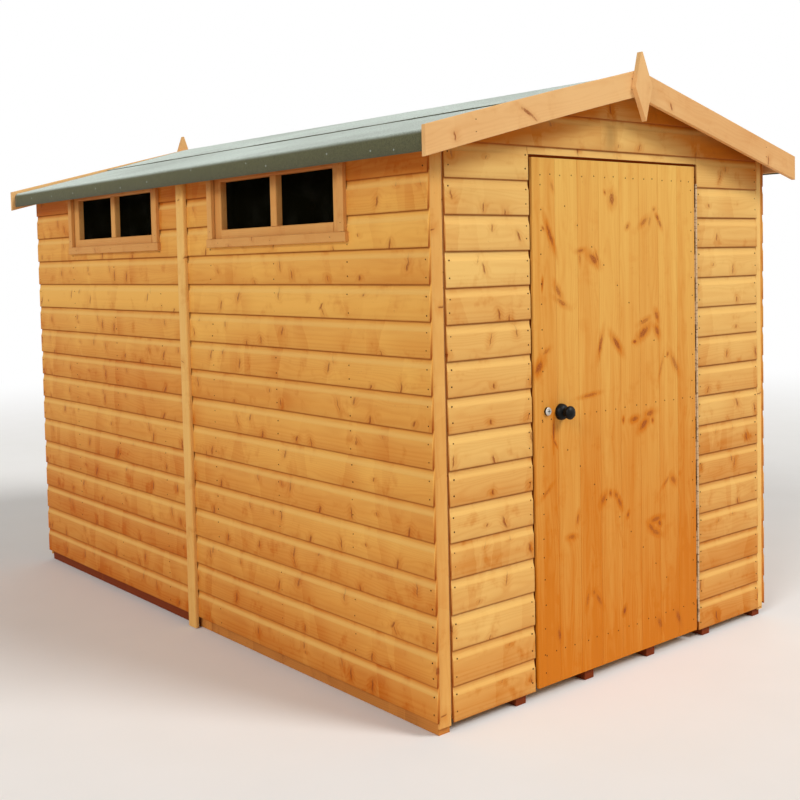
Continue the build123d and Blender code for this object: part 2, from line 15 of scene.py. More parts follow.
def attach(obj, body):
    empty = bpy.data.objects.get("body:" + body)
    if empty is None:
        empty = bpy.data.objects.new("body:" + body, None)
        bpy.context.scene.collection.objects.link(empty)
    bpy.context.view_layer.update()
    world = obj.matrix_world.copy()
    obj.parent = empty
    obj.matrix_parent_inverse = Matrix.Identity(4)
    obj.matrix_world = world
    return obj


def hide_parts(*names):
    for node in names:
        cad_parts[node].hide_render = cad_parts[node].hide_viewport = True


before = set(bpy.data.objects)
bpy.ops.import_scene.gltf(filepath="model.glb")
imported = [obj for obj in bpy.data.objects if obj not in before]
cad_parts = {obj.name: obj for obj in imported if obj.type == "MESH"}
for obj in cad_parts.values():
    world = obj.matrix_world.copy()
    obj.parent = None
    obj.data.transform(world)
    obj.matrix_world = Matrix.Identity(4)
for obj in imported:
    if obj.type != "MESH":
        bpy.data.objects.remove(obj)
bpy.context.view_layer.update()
log = logging.getLogger("shed")

Array = np.ndarray
Finish = bpy.types.Material
Socket = bpy.types.NodeSocket
Colour = tuple[float, float, float]
Size = tuple[float, float, float]
Pair = tuple[float, float]
MM = 0.001
CRISP = 0.5 * MM
SAME_PLACE = 1e-6


class Side(Enum):
    """Side of the shed, as the sign of X there."""

    LEFT = -1
    RIGHT = 1


class End(Enum):
    """End of the shed, as the sign of Y there."""

    FRONT = -1
    BACK = 1


def linear(red: int, green: int, blue: int) -> Colour:
    """Turns a colour as a picker shows it into the linear values of a shader.

    Formula: each share of 255 goes through the screen's own curve, a power of 2.4 with a
    straight foot.

    Args:
        red, green, blue: the colour's parts, 0 to 255.

    Returns:
        The three linear parts.
    """
    return tuple(((part / 255 + 0.055) / 1.055) ** 2.4 if part > 10 else part / 3295 for part in (red, green, blue))


# ---------------------------------------------------------------- shape of the shed


@dataclass(frozen=True)
class Shed:
    """Main sizes of the shed and the lines of its roof, as in the CAD model."""

    half_width: float = 0.924
    half_length: float = 1.4865
    board: float = 0.012
    stud: float = 0.038
    panel_joint: float = 0.0005
    ridge: float = 2.15
    pitch: float = 14.4
    deck: float = 0.012
    felt: float = 0.0033
    eaves: float = 0.999
    roof_half: float = 1.5625
    floor_top: float = 0.057
    window_top: float = 1.85905
    window_bottom: float = 1.59605
    window_half: float = 0.411
    windows: Pair = (-0.65, 0.636)
    door: Pair = (-0.461, 0.444)
    door_heights: Pair = (0.042, 1.835)
    opening: Pair = (-0.4694, 0.4655)
    opening_top: float = 1.845
    door_front: float = -1.4915
    settle: float = 0.007

    @property
    def slope(self) -> float:
        """Fall of the roof for each metre across."""
        return math.tan(math.radians(self.pitch))

    @property
    def upright(self) -> float:
        """Height over a slope of one unit measured square to it."""
        return 1 / math.cos(math.radians(self.pitch))

    def deck_top(self, x: Array | float) -> Array | float:
        """Height of the roof boards' upper face at x."""
        return self.ridge - 2 * self.felt * self.upright - self.slope * np.abs(x)

    def under_roof(self, x: Array | float) -> Array | float:
        """Height of the roof boards' underside at x."""
        return self.deck_top(x) - self.deck * self.upright

    def settled(self, points: Array) -> Array:
        """Moves points with the roof, whose ridge has settled towards the door.

        Formula: a point rises by the settle times its y, times its share of the way from the
        eaves to the ridge, times its share of the way up from the windows' tops to the ridge.

        Args:
            points: places, one a row.

        Returns:
            The moved places.
        """
        inward = np.clip(1 - np.abs(points[:, 0]) / self.eaves, 0, 1)
        upward = np.clip((points[:, 2] - self.window_top) / (self.under_roof(0.0) - self.window_top), 0, 1)
        moved = np.array(points, float)
        moved[:, 2] += self.settle * points[:, 1] * inward * upward
        return moved

    @property
    def frame_inner(self) -> float:
        """Distance from a wall's outer face to the inner face of its framing."""
        return self.board + self.stud


SHED = Shed()


@dataclass(frozen=True)
class Run:
    """Straight line that an outline is carried along, with the ways of its two coordinates."""

    along: tuple = (0, 1, 0)
    across: tuple = (1, 0, 0)
    out: tuple = (0, 0, 1)
    origin: tuple = (0, 0, 0)


ALONG_X = Run((1, 0, 0), (0, 1, 0), (0, 0, 1))
ALONG_Y = Run((0, 1, 0), (1, 0, 0), (0, 0, 1))
ALONG_Z = Run((0, 0, 1), (1, 0, 0), (0, 1, 0))


def down_slope(side: Side, height: float) -> Run:
    """Line down one roof slope from a height at the ridge; its outlines are (square to the slope, y).

    Args:
        side: the slope's side.
        height: where the line starts.

    Returns:
        The line.
    """
    turn = math.radians(SHED.pitch)
    across = (side.value * math.sin(turn), 0, math.cos(turn))
    return Run((side.value * math.cos(turn), 0, -math.sin(turn)), across, (0, 1, 0), (0, 0, height))


def cut_at(run: Run, outline: Array, axis: int, place: float) -> Array:
    """Where each line of a timber meets a level or upright plane.

    Formula: the plane's coordinate less the outline point's own, over the run's step in it.

    Args:
        run: the timber's line.
        outline: its outline's points.
        axis: 0 for a plane of one x, 2 for one of one z.
        place: the plane's coordinate.

    Returns:
        The distance along the run for each point of the outline.
    """
    own = outline[:, 0] * run.across[axis] + outline[:, 1] * run.out[axis]
    return (place - run.origin[axis] - own) / run.along[axis]


def rect(across: Pair, out: Pair) -> Array:
    """Corners of a rectangle, in order round it."""
    (a, b), (c, d) = across, out
    return np.array([(a, c), (b, c), (b, d), (a, d)], float)


def around(centre: float, width: float) -> Pair:
    """Two coordinates either side of a centre."""
    return (centre - width / 2, centre + width / 2)


def beyond(part: Side | End, near: float, far: float) -> Pair:
    """Two distances taken towards a side or an end, the lower coordinate first."""
    return tuple(sorted((part.value * near, part.value * far)))


def eased(corners: Array, radius: float | Array = 1.5 * MM, far: float = 1.8, cut: float = 0.29) -> Array:
    """Softens the corners of an outline.

    Formula: a corner P of radius r gives P + k r a for k = far and 1, P + cut r (a + b), then
    P + k r b for k = 1 and far, with a and b the unit vectors to the corners before and after.

    Args:
        corners: the outline's corners; one that repeats the corner before it is left out.
        radius: one radius, or one for each corner.
        far: how many radii from the corner the flat parts start.
        cut: how far the rounded corner lies inside the sharp one, in radii along each side.

    Returns:
        Five points for each corner.
    """
    corners = np.asarray(corners, float)
    r = np.broadcast_to(radius, len(corners))[:, None]
    fresh = np.linalg.norm(corners - np.roll(corners, 1, 0), axis=1) > SAME_PLACE
    corners, r = corners[fresh], r[fresh]
    before, after = (np.roll(corners, step, 0) - corners for step in (1, -1))
    before /= np.linalg.norm(before, axis=1)[:, None]
    after /= np.linalg.norm(after, axis=1)[:, None]
    steps = (far * before, before, cut * (before + after), after, far * after)
    return np.stack([corners + r * step for step in steps], 1).reshape(-1, 2)


class Pile:
    """Timbers that make one piece, gathered with what their finish reads at each point.

    Each pile has its own seed. The shifts are how far along, across and through its log a timber
    may have been cut. The waves are the pace and share of the sines that bend it.
    """

    shifts: tuple[Pair, ...] = ((0, 40), (-0.05, 0.05), (0.03, 0.09))
    waves: tuple[Pair, ...] = ((3.1, 1.0), (8.3, 0.5), (5.7, 0.5))

    def __init__(self, name: str, seed: int, settle: bool = True) -> None:
        """Starts an empty pile whose random draws follow from its seed.

        Args:
            name: the name of the piece that it becomes.
            seed: the seed of its random draws.
            settle: whether its points move with the settled roof.
        """
        self.name = name
        self.settle = settle
        self.random = np.random.default_rng(seed)
        self.points: list[Array] = []
        self.grain: list[Array] = []
        self.look: list[Array] = []
        self.faces: list[list[int]] = []
        self.count = 0

    def draw(self, tone: float = 0.0, spread: float = 0.1) -> Array:
        """Picks a timber's tone and where in its log it was cut.

        Args:
            tone: its depth of colour, 0 pale and 1 deep, before the draw.
            spread: how far tones differ from timber to timber.

        Returns:
            The tone, then the shifts of the grain along, across and through the timber.
        """
        shifts = [self.random.uniform(*reach) for reach in self.shifts]
        return np.array([tone + spread * self.random.standard_normal(), *shifts])

    def timber(
        self,
        outline: Array,
        start: float | Array,
        end: float | Array,
        run: Run = ALONG_Y,
        tone: float = 0.0,
        draw: Array | None = None,
        stain_and_painted_light: float | Array = 0.0,
        fibre: int = 0,
        wave: float = 0.4 * MM,
        step: float = 0.12,
    ) -> None:
        """Carries a closed outline along a straight line.

        Formula: point (i, j) is origin + along s + across v + out w, where s goes evenly from
        start j to end j and (v, w) is outline point j, v moved by two sines of s and w by one.

        Args:
            outline: the section's points.
            start, end: where the timber starts and ends, one value or one for each point.
            run: its line.
            tone: its depth of colour, 0 pale and 1 deep.
            draw: tone and grain shifts, for parts of one board that belong together.
            stain_and_painted_light: above nought, how dark the painted shade under a lap or in a gap
            is at each outline point; below nought, how much paler the point is, for thinner stain
            and painted highlight.
            fibre: which of run, across and out the grain follows, as 0, 1 or 2.
            wave: how far the timber strays from straight.
            step: distance between its cross sections.
        """
        outline = np.asarray(outline, float)
        size = len(outline)
        draw = self.draw(tone) if draw is None else draw
        start, end, stain_and_painted_light = (np.broadcast_to(np.asarray(value, float), size) for value in (start, end, stain_and_painted_light))
        axes = np.array([run.along, run.across, run.out], float)
        v, w = outline.T
        area = np.sum(v * np.roll(w, -1) - w * np.roll(v, -1))
        if area * np.linalg.det(axes) < 0:
            outline, start, end, stain_and_painted_light = outline[::-1], start[::-1], end[::-1], stain_and_painted_light[::-1]
        count = max(2, math.ceil((end.max() - start.min()) / step) + 1)
        s = start + (end - start) * np.linspace(0, 1, count)[:, None]
        slow, quick, other = (
            share * np.sin(pace * s + turn * draw[1]) for turn, (pace, share) in enumerate(self.waves, 1)
        )
        points = np.stack((s, outline[:, 0] + wave * (slow + quick), outline[:, 1] + wave * other), -1)
        local = points - np.array([0, *(outline.max(0) + outline.min(0)) / 2])
        face = 1 + int(np.argmax(np.ptp(outline, 0)))
        shifts = draw[1:] if face == 1 else draw[[1, 3, 2]]
        grain = np.roll(local, -fibre, -1) + shifts
        look = np.zeros_like(grain)
        # The look holds the tone, then painted shade above nought or a paler colour for thin stain and painted
        # highlight below it, then the height across the face.
        look[..., 0], look[..., 1], look[..., 2] = draw[0], stain_and_painted_light, local[..., face]
        index = self.count + np.arange(count * size).reshape(count, size)
        a, b = index[:-1], index[1:]
        quads = np.stack((a, np.roll(a, -1, 1), np.roll(b, -1, 1), b), -1).reshape(-1, 4)
        self.faces += quads.tolist() + [index[0, ::-1].tolist(), index[-1].tolist()]
        self.points.append((points @ axes + np.array(run.origin)).reshape(-1, 3))
        self.grain.append(grain.reshape(-1, 3))
        self.look.append(look.reshape(-1, 3))
        self.count += count * size

    def beam(self, x: Pair, y: Pair, z: Pair, run: Run, tone: float = 0.0, radius: float = 1.5 * MM) -> None:
        """Lays a rectangular timber between pairs of coordinates, with its arrises eased."""
        spans = {0: (y, z, x), 1: (x, z, y), 2: (x, y, z)}[run.along.index(1)]
        self.timber(eased(rect(spans[0], spans[1]), radius), *spans[2], run=run, tone=tone)

    def piece(self, finish: Finish, slot: str, *nodes: str, body: str = "shed") -> None:
        """Makes the pile one object that stands for CAD nodes.

        Args:
            finish: the material of all its timbers.
            slot: the record's material slot.
            nodes: the CAD nodes that it replaces.
            body: the CAD body that it moves with.
        """
        points = np.concatenate(self.points)
        made = surface(self.name, SHED.settled(points) if self.settle else points, self.faces, finish)
        for name, rows in (("grain", self.grain), ("look", self.look)):
            layer = made.data.attributes.new(name, "FLOAT_VECTOR", "POINT")
            layer.data.foreach_set("vector", np.concatenate(rows).astype(np.float32).ravel())
        place(made, body, slot, *nodes)


def surface(name: str, points: Array, faces: list, finish: Finish, crease: float = 50) -> bpy.types.Object:
    """Puts points and faces into a mesh object at the origin, smooth but for its sharp edges.

    Args:
        name: the object's name.
        points: its points, one a row.
        faces: the point numbers of each face.
        finish: its material.
        crease: the angle in degrees from which an edge is sharp.

    Returns:
        The object.
    """
    mesh = bpy.data.meshes.new(name)
    mesh.from_pydata(points.tolist(), [], faces)
    mesh.materials.append(finish)
    mesh.shade_smooth()
    mesh.set_sharp_from_angle(angle=math.radians(crease))
    made = bpy.data.objects.new(name, mesh)
    bpy.context.scene.collection.objects.link(made)
    return made


def place(made: bpy.types.Object, body: str, slot: str = "", *nodes: str) -> None:
    """Makes an object ride on a CAD body and hides the CAD nodes that it stands for.

    Args:
        made: the object.
        body: the CAD body.
        slot: not used.
        nodes: the CAD nodes that it replaces.
    """
    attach(made, body)
    if nodes:
        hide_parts(*nodes)
    log.info("%s: %d faces", made.name, len(made.data.polygons))


@dataclass(frozen=True)
class Sight:
    """The photograph's camera: its eye, its turns in degrees, its focal length and middle in pixels."""

    eye: tuple = (-3.2378, -4.0398, 1.497)
    yaw: float = 51.213
    pitch: float = -3.118
    roll: float = 1.308
    focal: float = 1120.22
    middle: Pair = (363.19, 324.28)

    @property
    def rows(self) -> Array:
        """The ways right, down and ahead in the view, one a row.

        Formula: ahead follows from yaw and pitch; a level way to the right, and down, square to
        both, are then turned by the roll.

        Returns:
            The rows.
        """
        yaw, pitch, roll = (math.radians(turn) for turn in (self.yaw, self.pitch, self.roll))
        ahead = np.array([math.cos(pitch) * math.cos(yaw), math.cos(pitch) * math.sin(yaw), math.sin(pitch)])
        right = np.cross(ahead, (0, 0, 1))
        right /= np.linalg.norm(right)
        down = np.cross(ahead, right)
        c, s = math.cos(roll), math.sin(roll)
        return np.array([c * right + s * down, c * down - s * right, ahead])

    def on_door(self, spot: Pair) -> Array:
        """Finds what a pixel shows on the door's front.

        Formula: eye + t ray, with t such that y is the door's front, to a tenth of a millimetre.

        Args:
            spot: the pixel's place across and down the photograph.

        Returns:
            The place's x and z in millimetres.
        """
        across, down = (np.array(spot) - self.middle) / self.focal
        ray = self.rows.T @ np.array([across, down, 1.0])
        found = self.eye + (SHED.door_front - self.eye[1]) / ray[1] * ray
        return np.round(found[[0, 2]] / MM, 1)


SIGHT = Sight()


# ---------------------------------------------------------------- finishes


class Sketch:
    """Short calls that draw one material's nodes."""

    def __init__(self, name: str) -> None:
        """Starts a material that holds only its surface shader and output.

        Args:
            name: the material's name.
        """
        self.material = bpy.data.materials.new(name)
        self.material.use_nodes = True
        self.nodes = self.material.node_tree.nodes
        self.links = self.material.node_tree.links
        self.shader = self.nodes["Principled BSDF"]

    def put(self, socket: Socket, value: object) -> None:
        """Links a socket to another, or sets its value.

        Args:
            socket: the input.
            value: a socket to link, or a plain value.
        """
        if isinstance(value, Socket):
            self.links.new(value, socket)
        elif isinstance(value, tuple) and socket.type == "RGBA":
            socket.default_value = (*value, 1.0)[:4]
        else:
            socket.default_value = value

    def node(self, kind: str, inputs: dict, **settings: object) -> bpy.types.Node:
        """Adds a node.

        Args:
            kind: its type, without the words ShaderNode.
            inputs: its inputs by name or number, as values or as sockets to link.
            settings: its other properties.

        Returns:
            The node.
        """
        made = self.nodes.new("ShaderNode" + kind)
        for name, value in settings.items():
            setattr(made, name, value)
        for name, value in inputs.items():
            self.put(made.inputs[name], value)
        return made

    def math(self, operation: str, a: object, b: object = 0.0, clamp: bool = False) -> Socket:
        """Result of one sum on numbers."""
        return self.node("Math", {0: a, 1: b}, operation=operation, use_clamp=clamp).outputs[0]

    def times(self, a: object, b: object, clamp: bool = False) -> Socket:
        """Product of two numbers."""
        return self.math("MULTIPLY", a, b, clamp)

    def most(self, a: object, b: object) -> Socket:
        """Greater of two numbers."""
        return self.math("MAXIMUM", a, b)

    def unsigned(self, value: object) -> Socket:
        """Number without its sign."""
        return self.math("ABSOLUTE", value)

    def share(self, value: object) -> Socket:
        """Number kept between 0 and 1."""
        return self.math("ADD", value, 0.0, clamp=True)

    def length(self, vector: object) -> Socket:
        """Length of a vector."""
        return self.node("VectorMath", {0: vector}, operation="LENGTH").outputs["Value"]

    def total(self, *parts: object) -> Socket:
        """Sum of numbers, where a pair stands for a socket times a factor.

        Args:
            parts: the numbers, sockets and pairs.

        Returns:
            The sum.
        """
        made = 0.0
        for part in parts:
            share, factor = part if isinstance(part, tuple) else (part, 1.0)
            made = self.node("Math", {0: share, 1: factor, 2: made}, operation="MULTIPLY_ADD").outputs[0]
        return made

    def scaled(self, vector: object, factors: object) -> Socket:
        """Vector with each part times its factor."""
        return self.node("VectorMath", {0: vector, 1: factors}, operation="MULTIPLY").outputs[0]

    def moved(self, vector: object, by: object) -> Socket:
        """Sum of two vectors."""
        return self.node("VectorMath", {0: vector, 1: by}, operation="ADD").outputs[0]

    def split(self, vector: object) -> tuple:
        """The three parts of a vector."""
        return tuple(self.node("SeparateXYZ", {0: vector}).outputs)

    def joined(self, x: object, y: object, z: object) -> Socket:
        """Vector of three parts."""
        return self.node("CombineXYZ", {0: x, 1: y, 2: z}).outputs[0]

    def attribute(self, name: str) -> Socket:
        """A piece's own vector attribute."""
        return self.node("Attribute", {}, attribute_name=name).outputs["Vector"]

    def own(self) -> Socket:
        """Coordinates of the piece itself, which sits at the origin."""
        return self.node("TexCoord", {}).outputs["Object"]

    def noise(self, vector: object, scale: float | Size, detail: float = 2.0, rough: float = 0.5) -> Socket:
        """Cloudy noise from 0 to 1, its scale one number or one for each axis.

        Args:
            vector: where the noise is read.
            scale: one scale, or one for each axis.
            detail: how many finer layers are added.
            rough: how strong the finer layers are.

        Returns:
            The noise.
        """
        if isinstance(scale, tuple):
            vector, scale = self.scaled(vector, scale), 1.0
        inputs = {"Vector": vector, "Scale": scale, "Detail": detail, "Roughness": rough}
        return self.node("TexNoise", inputs).outputs[0]

    def ease(self, value: object, low: object, high: object) -> Socket:
        """Soft step from 0 at low to 1 at high, which may be the lower of the two."""
        inputs = {"Value": value, "From Min": low, "From Max": high}
        return self.node("MapRange", inputs, interpolation_type="SMOOTHSTEP").outputs[0]

    def mix(self, share: object, a: object, b: object, mode: str = "MIX") -> Socket:
        """Colour between two others."""
        made = self.node("Mix", {0: share, 6: a, 7: b}, data_type="RGBA", blend_type=mode)
        return made.outputs[2]

    def finish(
        self, colour: object, rough: object, height: object = None, depth: float = MM, **sockets: object
    ) -> Finish:
        """Links the results to the shader.

        Args:
            colour: base colour.
            rough: roughness.
            height: height of the fine relief, if there is one.
            depth: how high one unit of that relief is, in metres.
            sockets: plain values of other sockets, their spaces written as underscores.

        Returns:
            The finished material.
        """
        self.put(self.shader.inputs["Base Color"], colour)
        self.put(self.shader.inputs["Roughness"], rough)
        if height is not None:
            bump = self.node("Bump", {"Height": height, "Strength": 1.0, "Distance": depth})
            self.put(self.shader.inputs["Normal"], bump.outputs[0])
        for name, value in sockets.items():
            self.put(self.shader.inputs[name.replace("_", " ")], value)
        return self.material


@dataclass(frozen=True)
class Mark:
    """A knot that is seen: its middle, half its length and width, its lean in degrees and depth."""

    x: float
    z: float
    long: float
    wide: float
    lean: float = 0.0
    dark: float = 1.0


@dataclass(frozen=True)
class SeenKnots:
    """Knots given one by one, each a ragged, broken core in a paler flare.

    Edges are where a soft step starts and ends, as distances from the middle in half sizes.
    """

    marks: tuple[Mark, ...]
    ragged_size: Size = (150.0, 0.0, 70.0)
    ragged: float = 1.1
    core_edge: Pair = (1.3, 0.5)
    core_gain: float = 1.25
    core_most: float = 1.2
    flare_edge: Pair = (3.2, 0.8)
    broken_size: Size = (330.0, 0.0, 190.0)
    broken_gain: float = 2.4
    broken_base: float = -0.42
    unused: float = 1e6

    def draw(self, pen: Sketch, place: object) -> tuple:
        """Draws the knots.

        Formula: each is a soft step of the distance from its centre, over its half sizes, with
        noise added; the deepest of them counts at each point. The depth so far is carried in
        the unused middle coordinate, so that the knots are worked out one after another.

        Args:
            pen: the material's sketch.
            place: the piece's own coordinates.

        Returns:
            The knots' cores and the paler flares around them, as numbers from 0 to 1.
        """
        ragged = pen.noise(place, self.ragged_size)
        x, _, z = pen.split(place)
        core, flare = 0.0, 0.0
        for mark in self.marks:
            depth = min(self.core_gain * mark.dark, self.core_most)
            inputs = {"Vector": pen.joined(x, core, z), "Location": (mark.x, 0.0, mark.z)}
            inputs["Scale"] = (mark.wide, self.unused, mark.long)
            inputs["Rotation"] = (0.0, -math.radians(mark.lean), 0.0)
            local = pen.node("Mapping", inputs, vector_type="TEXTURE").outputs[0]
            away = pen.total(pen.length(local), (ragged, self.ragged), -self.ragged / 2)
            core = pen.most(core, pen.times(pen.ease(away, *self.core_edge), depth))
            flare = pen.most(flare, pen.times(pen.ease(away, *self.flare_edge), mark.dark))
        broken = pen.total((pen.noise(place, self.broken_size), self.broken_gain), self.broken_base)
        return pen.times(core, broken, clamp=True), flare


@dataclass(frozen=True)
class Whorls:
    """Marks that whorls of branches leave across a board, their sizes in metres.

    Each row is the mean spacing of some whorls and their start. Middle, half and tail are how
    far a stroke's height, half height and width are spread, and their least values.
    """

    rows: tuple[Pair, ...] = ((0.34, 0.0), (0.23, 7.3))
    lean: float = 0.9
    bend: float = 0.016
    bend_size: Pair = (12.0, 45.0)
    edge: Pair = (-0.8 * MM, 1.2 * MM)
    fade: float = 0.11
    paler: float = 0.4
    middle: Pair = (0.09, -0.06)
    half: Pair = (0.024, 0.007)
    soft: float = 0.3
    sharp: Pair = (-1.2 * MM, 0.4 * MM)
    tail: Pair = (0.012, 0.003)
    halo_width: float = 2.2
    halo_reach: float = 0.035
    again: float = 9.0

    def picked(self, pen: Sketch, chance: object, spread: Pair) -> Socket:
        """A random number drawn once more from another, spread over a range from a least value."""
        return pen.total((pen.math("FRACT", pen.times(chance, self.again)), spread[0]), spread[1])

    def draw(self, pen: Sketch, along: object, across: object, chance: float) -> tuple:
        """Draws the marks.

        Formula: whorls lie at random places along the log. With u the distance past one, which
        leans and bends across the board, the tone jumps at u = 0 and fades over 110 mm, and a
        dark stroke of random height lies on the jump, sharp on one side only.

        Args:
            pen: the material's sketch.
            along, across: distances along the board, and across it from its middle.
            chance: share of the whorls that have a stroke.

        Returns:
            The change of tone, the strokes and the haloes round them.
        """
        wide, high = (pen.times(value, scale) for value, scale in zip((along, across), self.bend_size))
        bend = pen.noise(pen.joined(wide, high, 0.0), 1.0)
        tone, core, halo = 0.0, 0.0, 0.0
        for spacing, shift in self.rows:
            at = pen.total((along, 1 / spacing), shift)
            cell = pen.node("TexVoronoi", {"W": at, "Scale": 1.0}, voronoi_dimensions="1D")
            first, second, third = pen.split(cell.outputs["Color"])
            gap = pen.times(pen.math("SUBTRACT", at, cell.outputs["W"]), spacing)
            lean = pen.total((second, self.lean), -self.lean / 2)
            gap = pen.total(gap, (across, lean), (bend, self.bend), -self.bend / 2)
            past = pen.times(gap, pen.math("SIGN", pen.math("SUBTRACT", third, 0.5)))
            jump = pen.times(pen.ease(past, *self.edge), pen.ease(past, self.fade, 0.0))
            tone = pen.total(tone, pen.times(jump, pen.total(first, -self.paler)))
            half = self.picked(pen, second, self.half)
            height = pen.unsigned(pen.math("SUBTRACT", across, self.picked(pen, first, self.middle)))
            there = pen.math("LESS_THAN", first, chance)
            stroke = pen.times(pen.ease(height, half, pen.times(half, self.soft)), there)
            fall = pen.ease(past, pen.total((second, self.tail[0]), self.tail[1]), 0.0)
            core = pen.most(core, pen.times(stroke, pen.times(pen.ease(past, *self.sharp), fall)))
            around_it = pen.ease(height, pen.total((half, self.halo_width)), 0.0)
            near = pen.times(pen.ease(pen.unsigned(gap), self.halo_reach, 0.0), there)
            halo = pen.most(halo, pen.times(around_it, near))
        return tone, core, halo


@dataclass(frozen=True)
class Timber:
    """Softwood with its stain: rings, soft streaks and the marks of whorls of branches."""

    name: str
    # Colours: thin and deep stain, bare wood, which the coves also take as painted highlight, knots, and the painted
    # shade under laps and in the door's gap.
    pale: Colour
    deep: Colour
    bare_and_highlight: Colour = linear(238, 190, 106)
    knot: Colour = linear(134, 58, 4)
    lap: Colour = linear(146, 64, 6)
    # How much each feature deepens the stain, and the share of whorls with a knot.
    depth: float = 0.3
    knots: float = 0.6
    jumps: float = 0.42
    rings: float = 0.1
    mean_ring: float = 0.35
    streaks: float = 0.3
    smudges: float = 0.3
    patches: float = 0.5
    fibres: float = 0.14
    flare: float = 0.28
    fade: float = 0.12
    fade_from: float = 1.0
    # Painted shade under the roof: how much it deepens the colour, and how far below the roof it reaches.
    painted_roof_shade: float = 0.0
    painted_roof_shade_reach: float = 0.13
    marks: tuple[Mark, ...] = ()
    # Scales of the noises along, across and through the timber, and their soft steps.
    stray_size: Size = (2.5, 12.0, 12.0)
    fibre_size: Size = (9.0, 420.0, 420.0)
    streak_size: Size = (1.1, 26.0, 26.0)
    smudge_size: Size = (15.0, 13.0, 13.0)
    smudge_edge: Pair = (0.54, 0.76)
    patch_size: Size = (1.6, 5.0, 5.0)
    speck_size: Size = (70.0, 130.0, 130.0)
    speck_edge: Pair = (0.7, 0.8)
    fine: float = 3.0
    # Rings: how knots and noise bend them, their scale, stretch, raggedness and sharpness.
    knot_bend: float = 0.012
    stray_bend: Pair = (0.03, 0.05)
    ring_scale: float = 46.0
    ring_size: Size = (0.1, 1.0, 1.0)
    ring_stray: float = 2.0
    ring_sharp: float = 2.0
    # How far the stain goes beyond deep, and how well specks, knots, and bare wood with its painted highlight cover it.
    darkest: Pair = (1.0, 1.7)
    darker: float = 0.4
    speck: float = 0.2
    knot_cover: float = 0.92
    bare_and_highlight_cover: float = 0.62
    # Shine and relief: shares of fibres, knots and the painted shade under laps, or of rings, fibres and knots.
    rough: float = 0.62
    roughness: Size = (0.12, -0.1, 0.35)
    specular: float = 0.18
    relief: Size = (0.25, 0.4, 0.5)
    relief_depth: float = 0.25 * MM

    def make(self) -> Finish:
        """Draws the material.

        Formula: the share of the deep stain is the timber's tone, plus rings round the log's
        pith bent aside by knots, plus streaks, smudges, patches, a slow rise towards the ground
        and painted shade in the last stretch under the roof; knots, a paler colour for thin stain
        and painted highlight, and painted shade under laps are then laid over it.

        Returns:
            The material.
        """
        pen = Sketch(self.name)
        grain, place = pen.attribute("grain"), pen.own()
        tone, stain_and_painted_light, across = pen.split(pen.attribute("look"))
        along = pen.split(grain)[0]
        width, _, height = pen.split(place)
        below = pen.total((pen.unsigned(width), -SHED.slope), (height, -1.0), SHED.under_roof(0.0))
        stray = pen.noise(grain, self.stray_size)
        jump, core, halo = Whorls().draw(pen, along, across, self.knots)
        if self.marks:
            seen, flare = SeenKnots(self.marks).draw(pen, place)
            core, halo = pen.most(core, seen), pen.most(halo, flare)
        bend = [(stray, strength) for strength in self.stray_bend]
        bent = pen.moved(grain, pen.joined(0.0, pen.total((halo, self.knot_bend), bend[0]), pen.total(bend[1])))
        ring_inputs = {"Vector": pen.scaled(bent, self.ring_size), "Scale": self.ring_scale, "Detail": 2.0}
        ring_inputs["Distortion"] = self.ring_stray
        ring_node = pen.node("TexWave", ring_inputs, wave_type="RINGS", rings_direction="X")
        ring = pen.math("POWER", ring_node.outputs["Fac"], self.ring_sharp)
        fibre = pen.noise(grain, self.fibre_size, self.fine, 0.65)
        streak = pen.noise(bent, self.streak_size)
        smudge = pen.ease(pen.noise(grain, self.smudge_size, self.fine, 0.6), *self.smudge_edge)
        patch = pen.noise(grain, self.patch_size)
        means = self.mean_ring * self.rings + (self.streaks + self.patches + self.fibres) / 2
        share = pen.total(
            tone,
            (ring, self.rings),
            (streak, self.streaks),
            (smudge, self.smudges),
            (patch, self.patches),
            (jump, self.jumps),
            (halo, self.flare),
            (fibre, self.fibres),
            (height, -self.fade),
            # painted shade, strongest right under the roof and gone at its reach below
            (pen.ease(below, self.painted_roof_shade_reach, 0.0), self.painted_roof_shade),
            self.depth + self.fade * self.fade_from - means,
        )
        colour = pen.mix(pen.share(share), self.pale, self.deep)
        colour = pen.mix(pen.ease(share, *self.darkest), colour, pen.mix(self.darker, self.deep, self.knot))
        colour = pen.mix(pen.times(core, self.knot_cover), colour, self.knot)
        speck = pen.ease(pen.noise(grain, self.speck_size), *self.speck_edge)
        colour = pen.mix(pen.times(speck, self.speck), colour, self.knot)
        # Below nought the look's second value pales the colour towards bare wood: thin stain and painted highlight.
        # Above nought it darkens it towards the lap colour: painted shade under laps and in the door's gap.
        painted_shade = pen.share(stain_and_painted_light)
        colour = pen.mix(pen.times(stain_and_painted_light, -self.bare_and_highlight_cover, clamp=True), colour, self.bare_and_highlight)
        colour = pen.mix(painted_shade, colour, self.lap)
        relief = pen.total(*zip((ring, fibre, core), self.relief))
        rough = pen.total(*zip((fibre, core, painted_shade), self.roughness), self.rough - self.roughness[0] / 2)
        return pen.finish(colour, rough, relief, self.relief_depth, Specular_IOR_Level=self.specular)


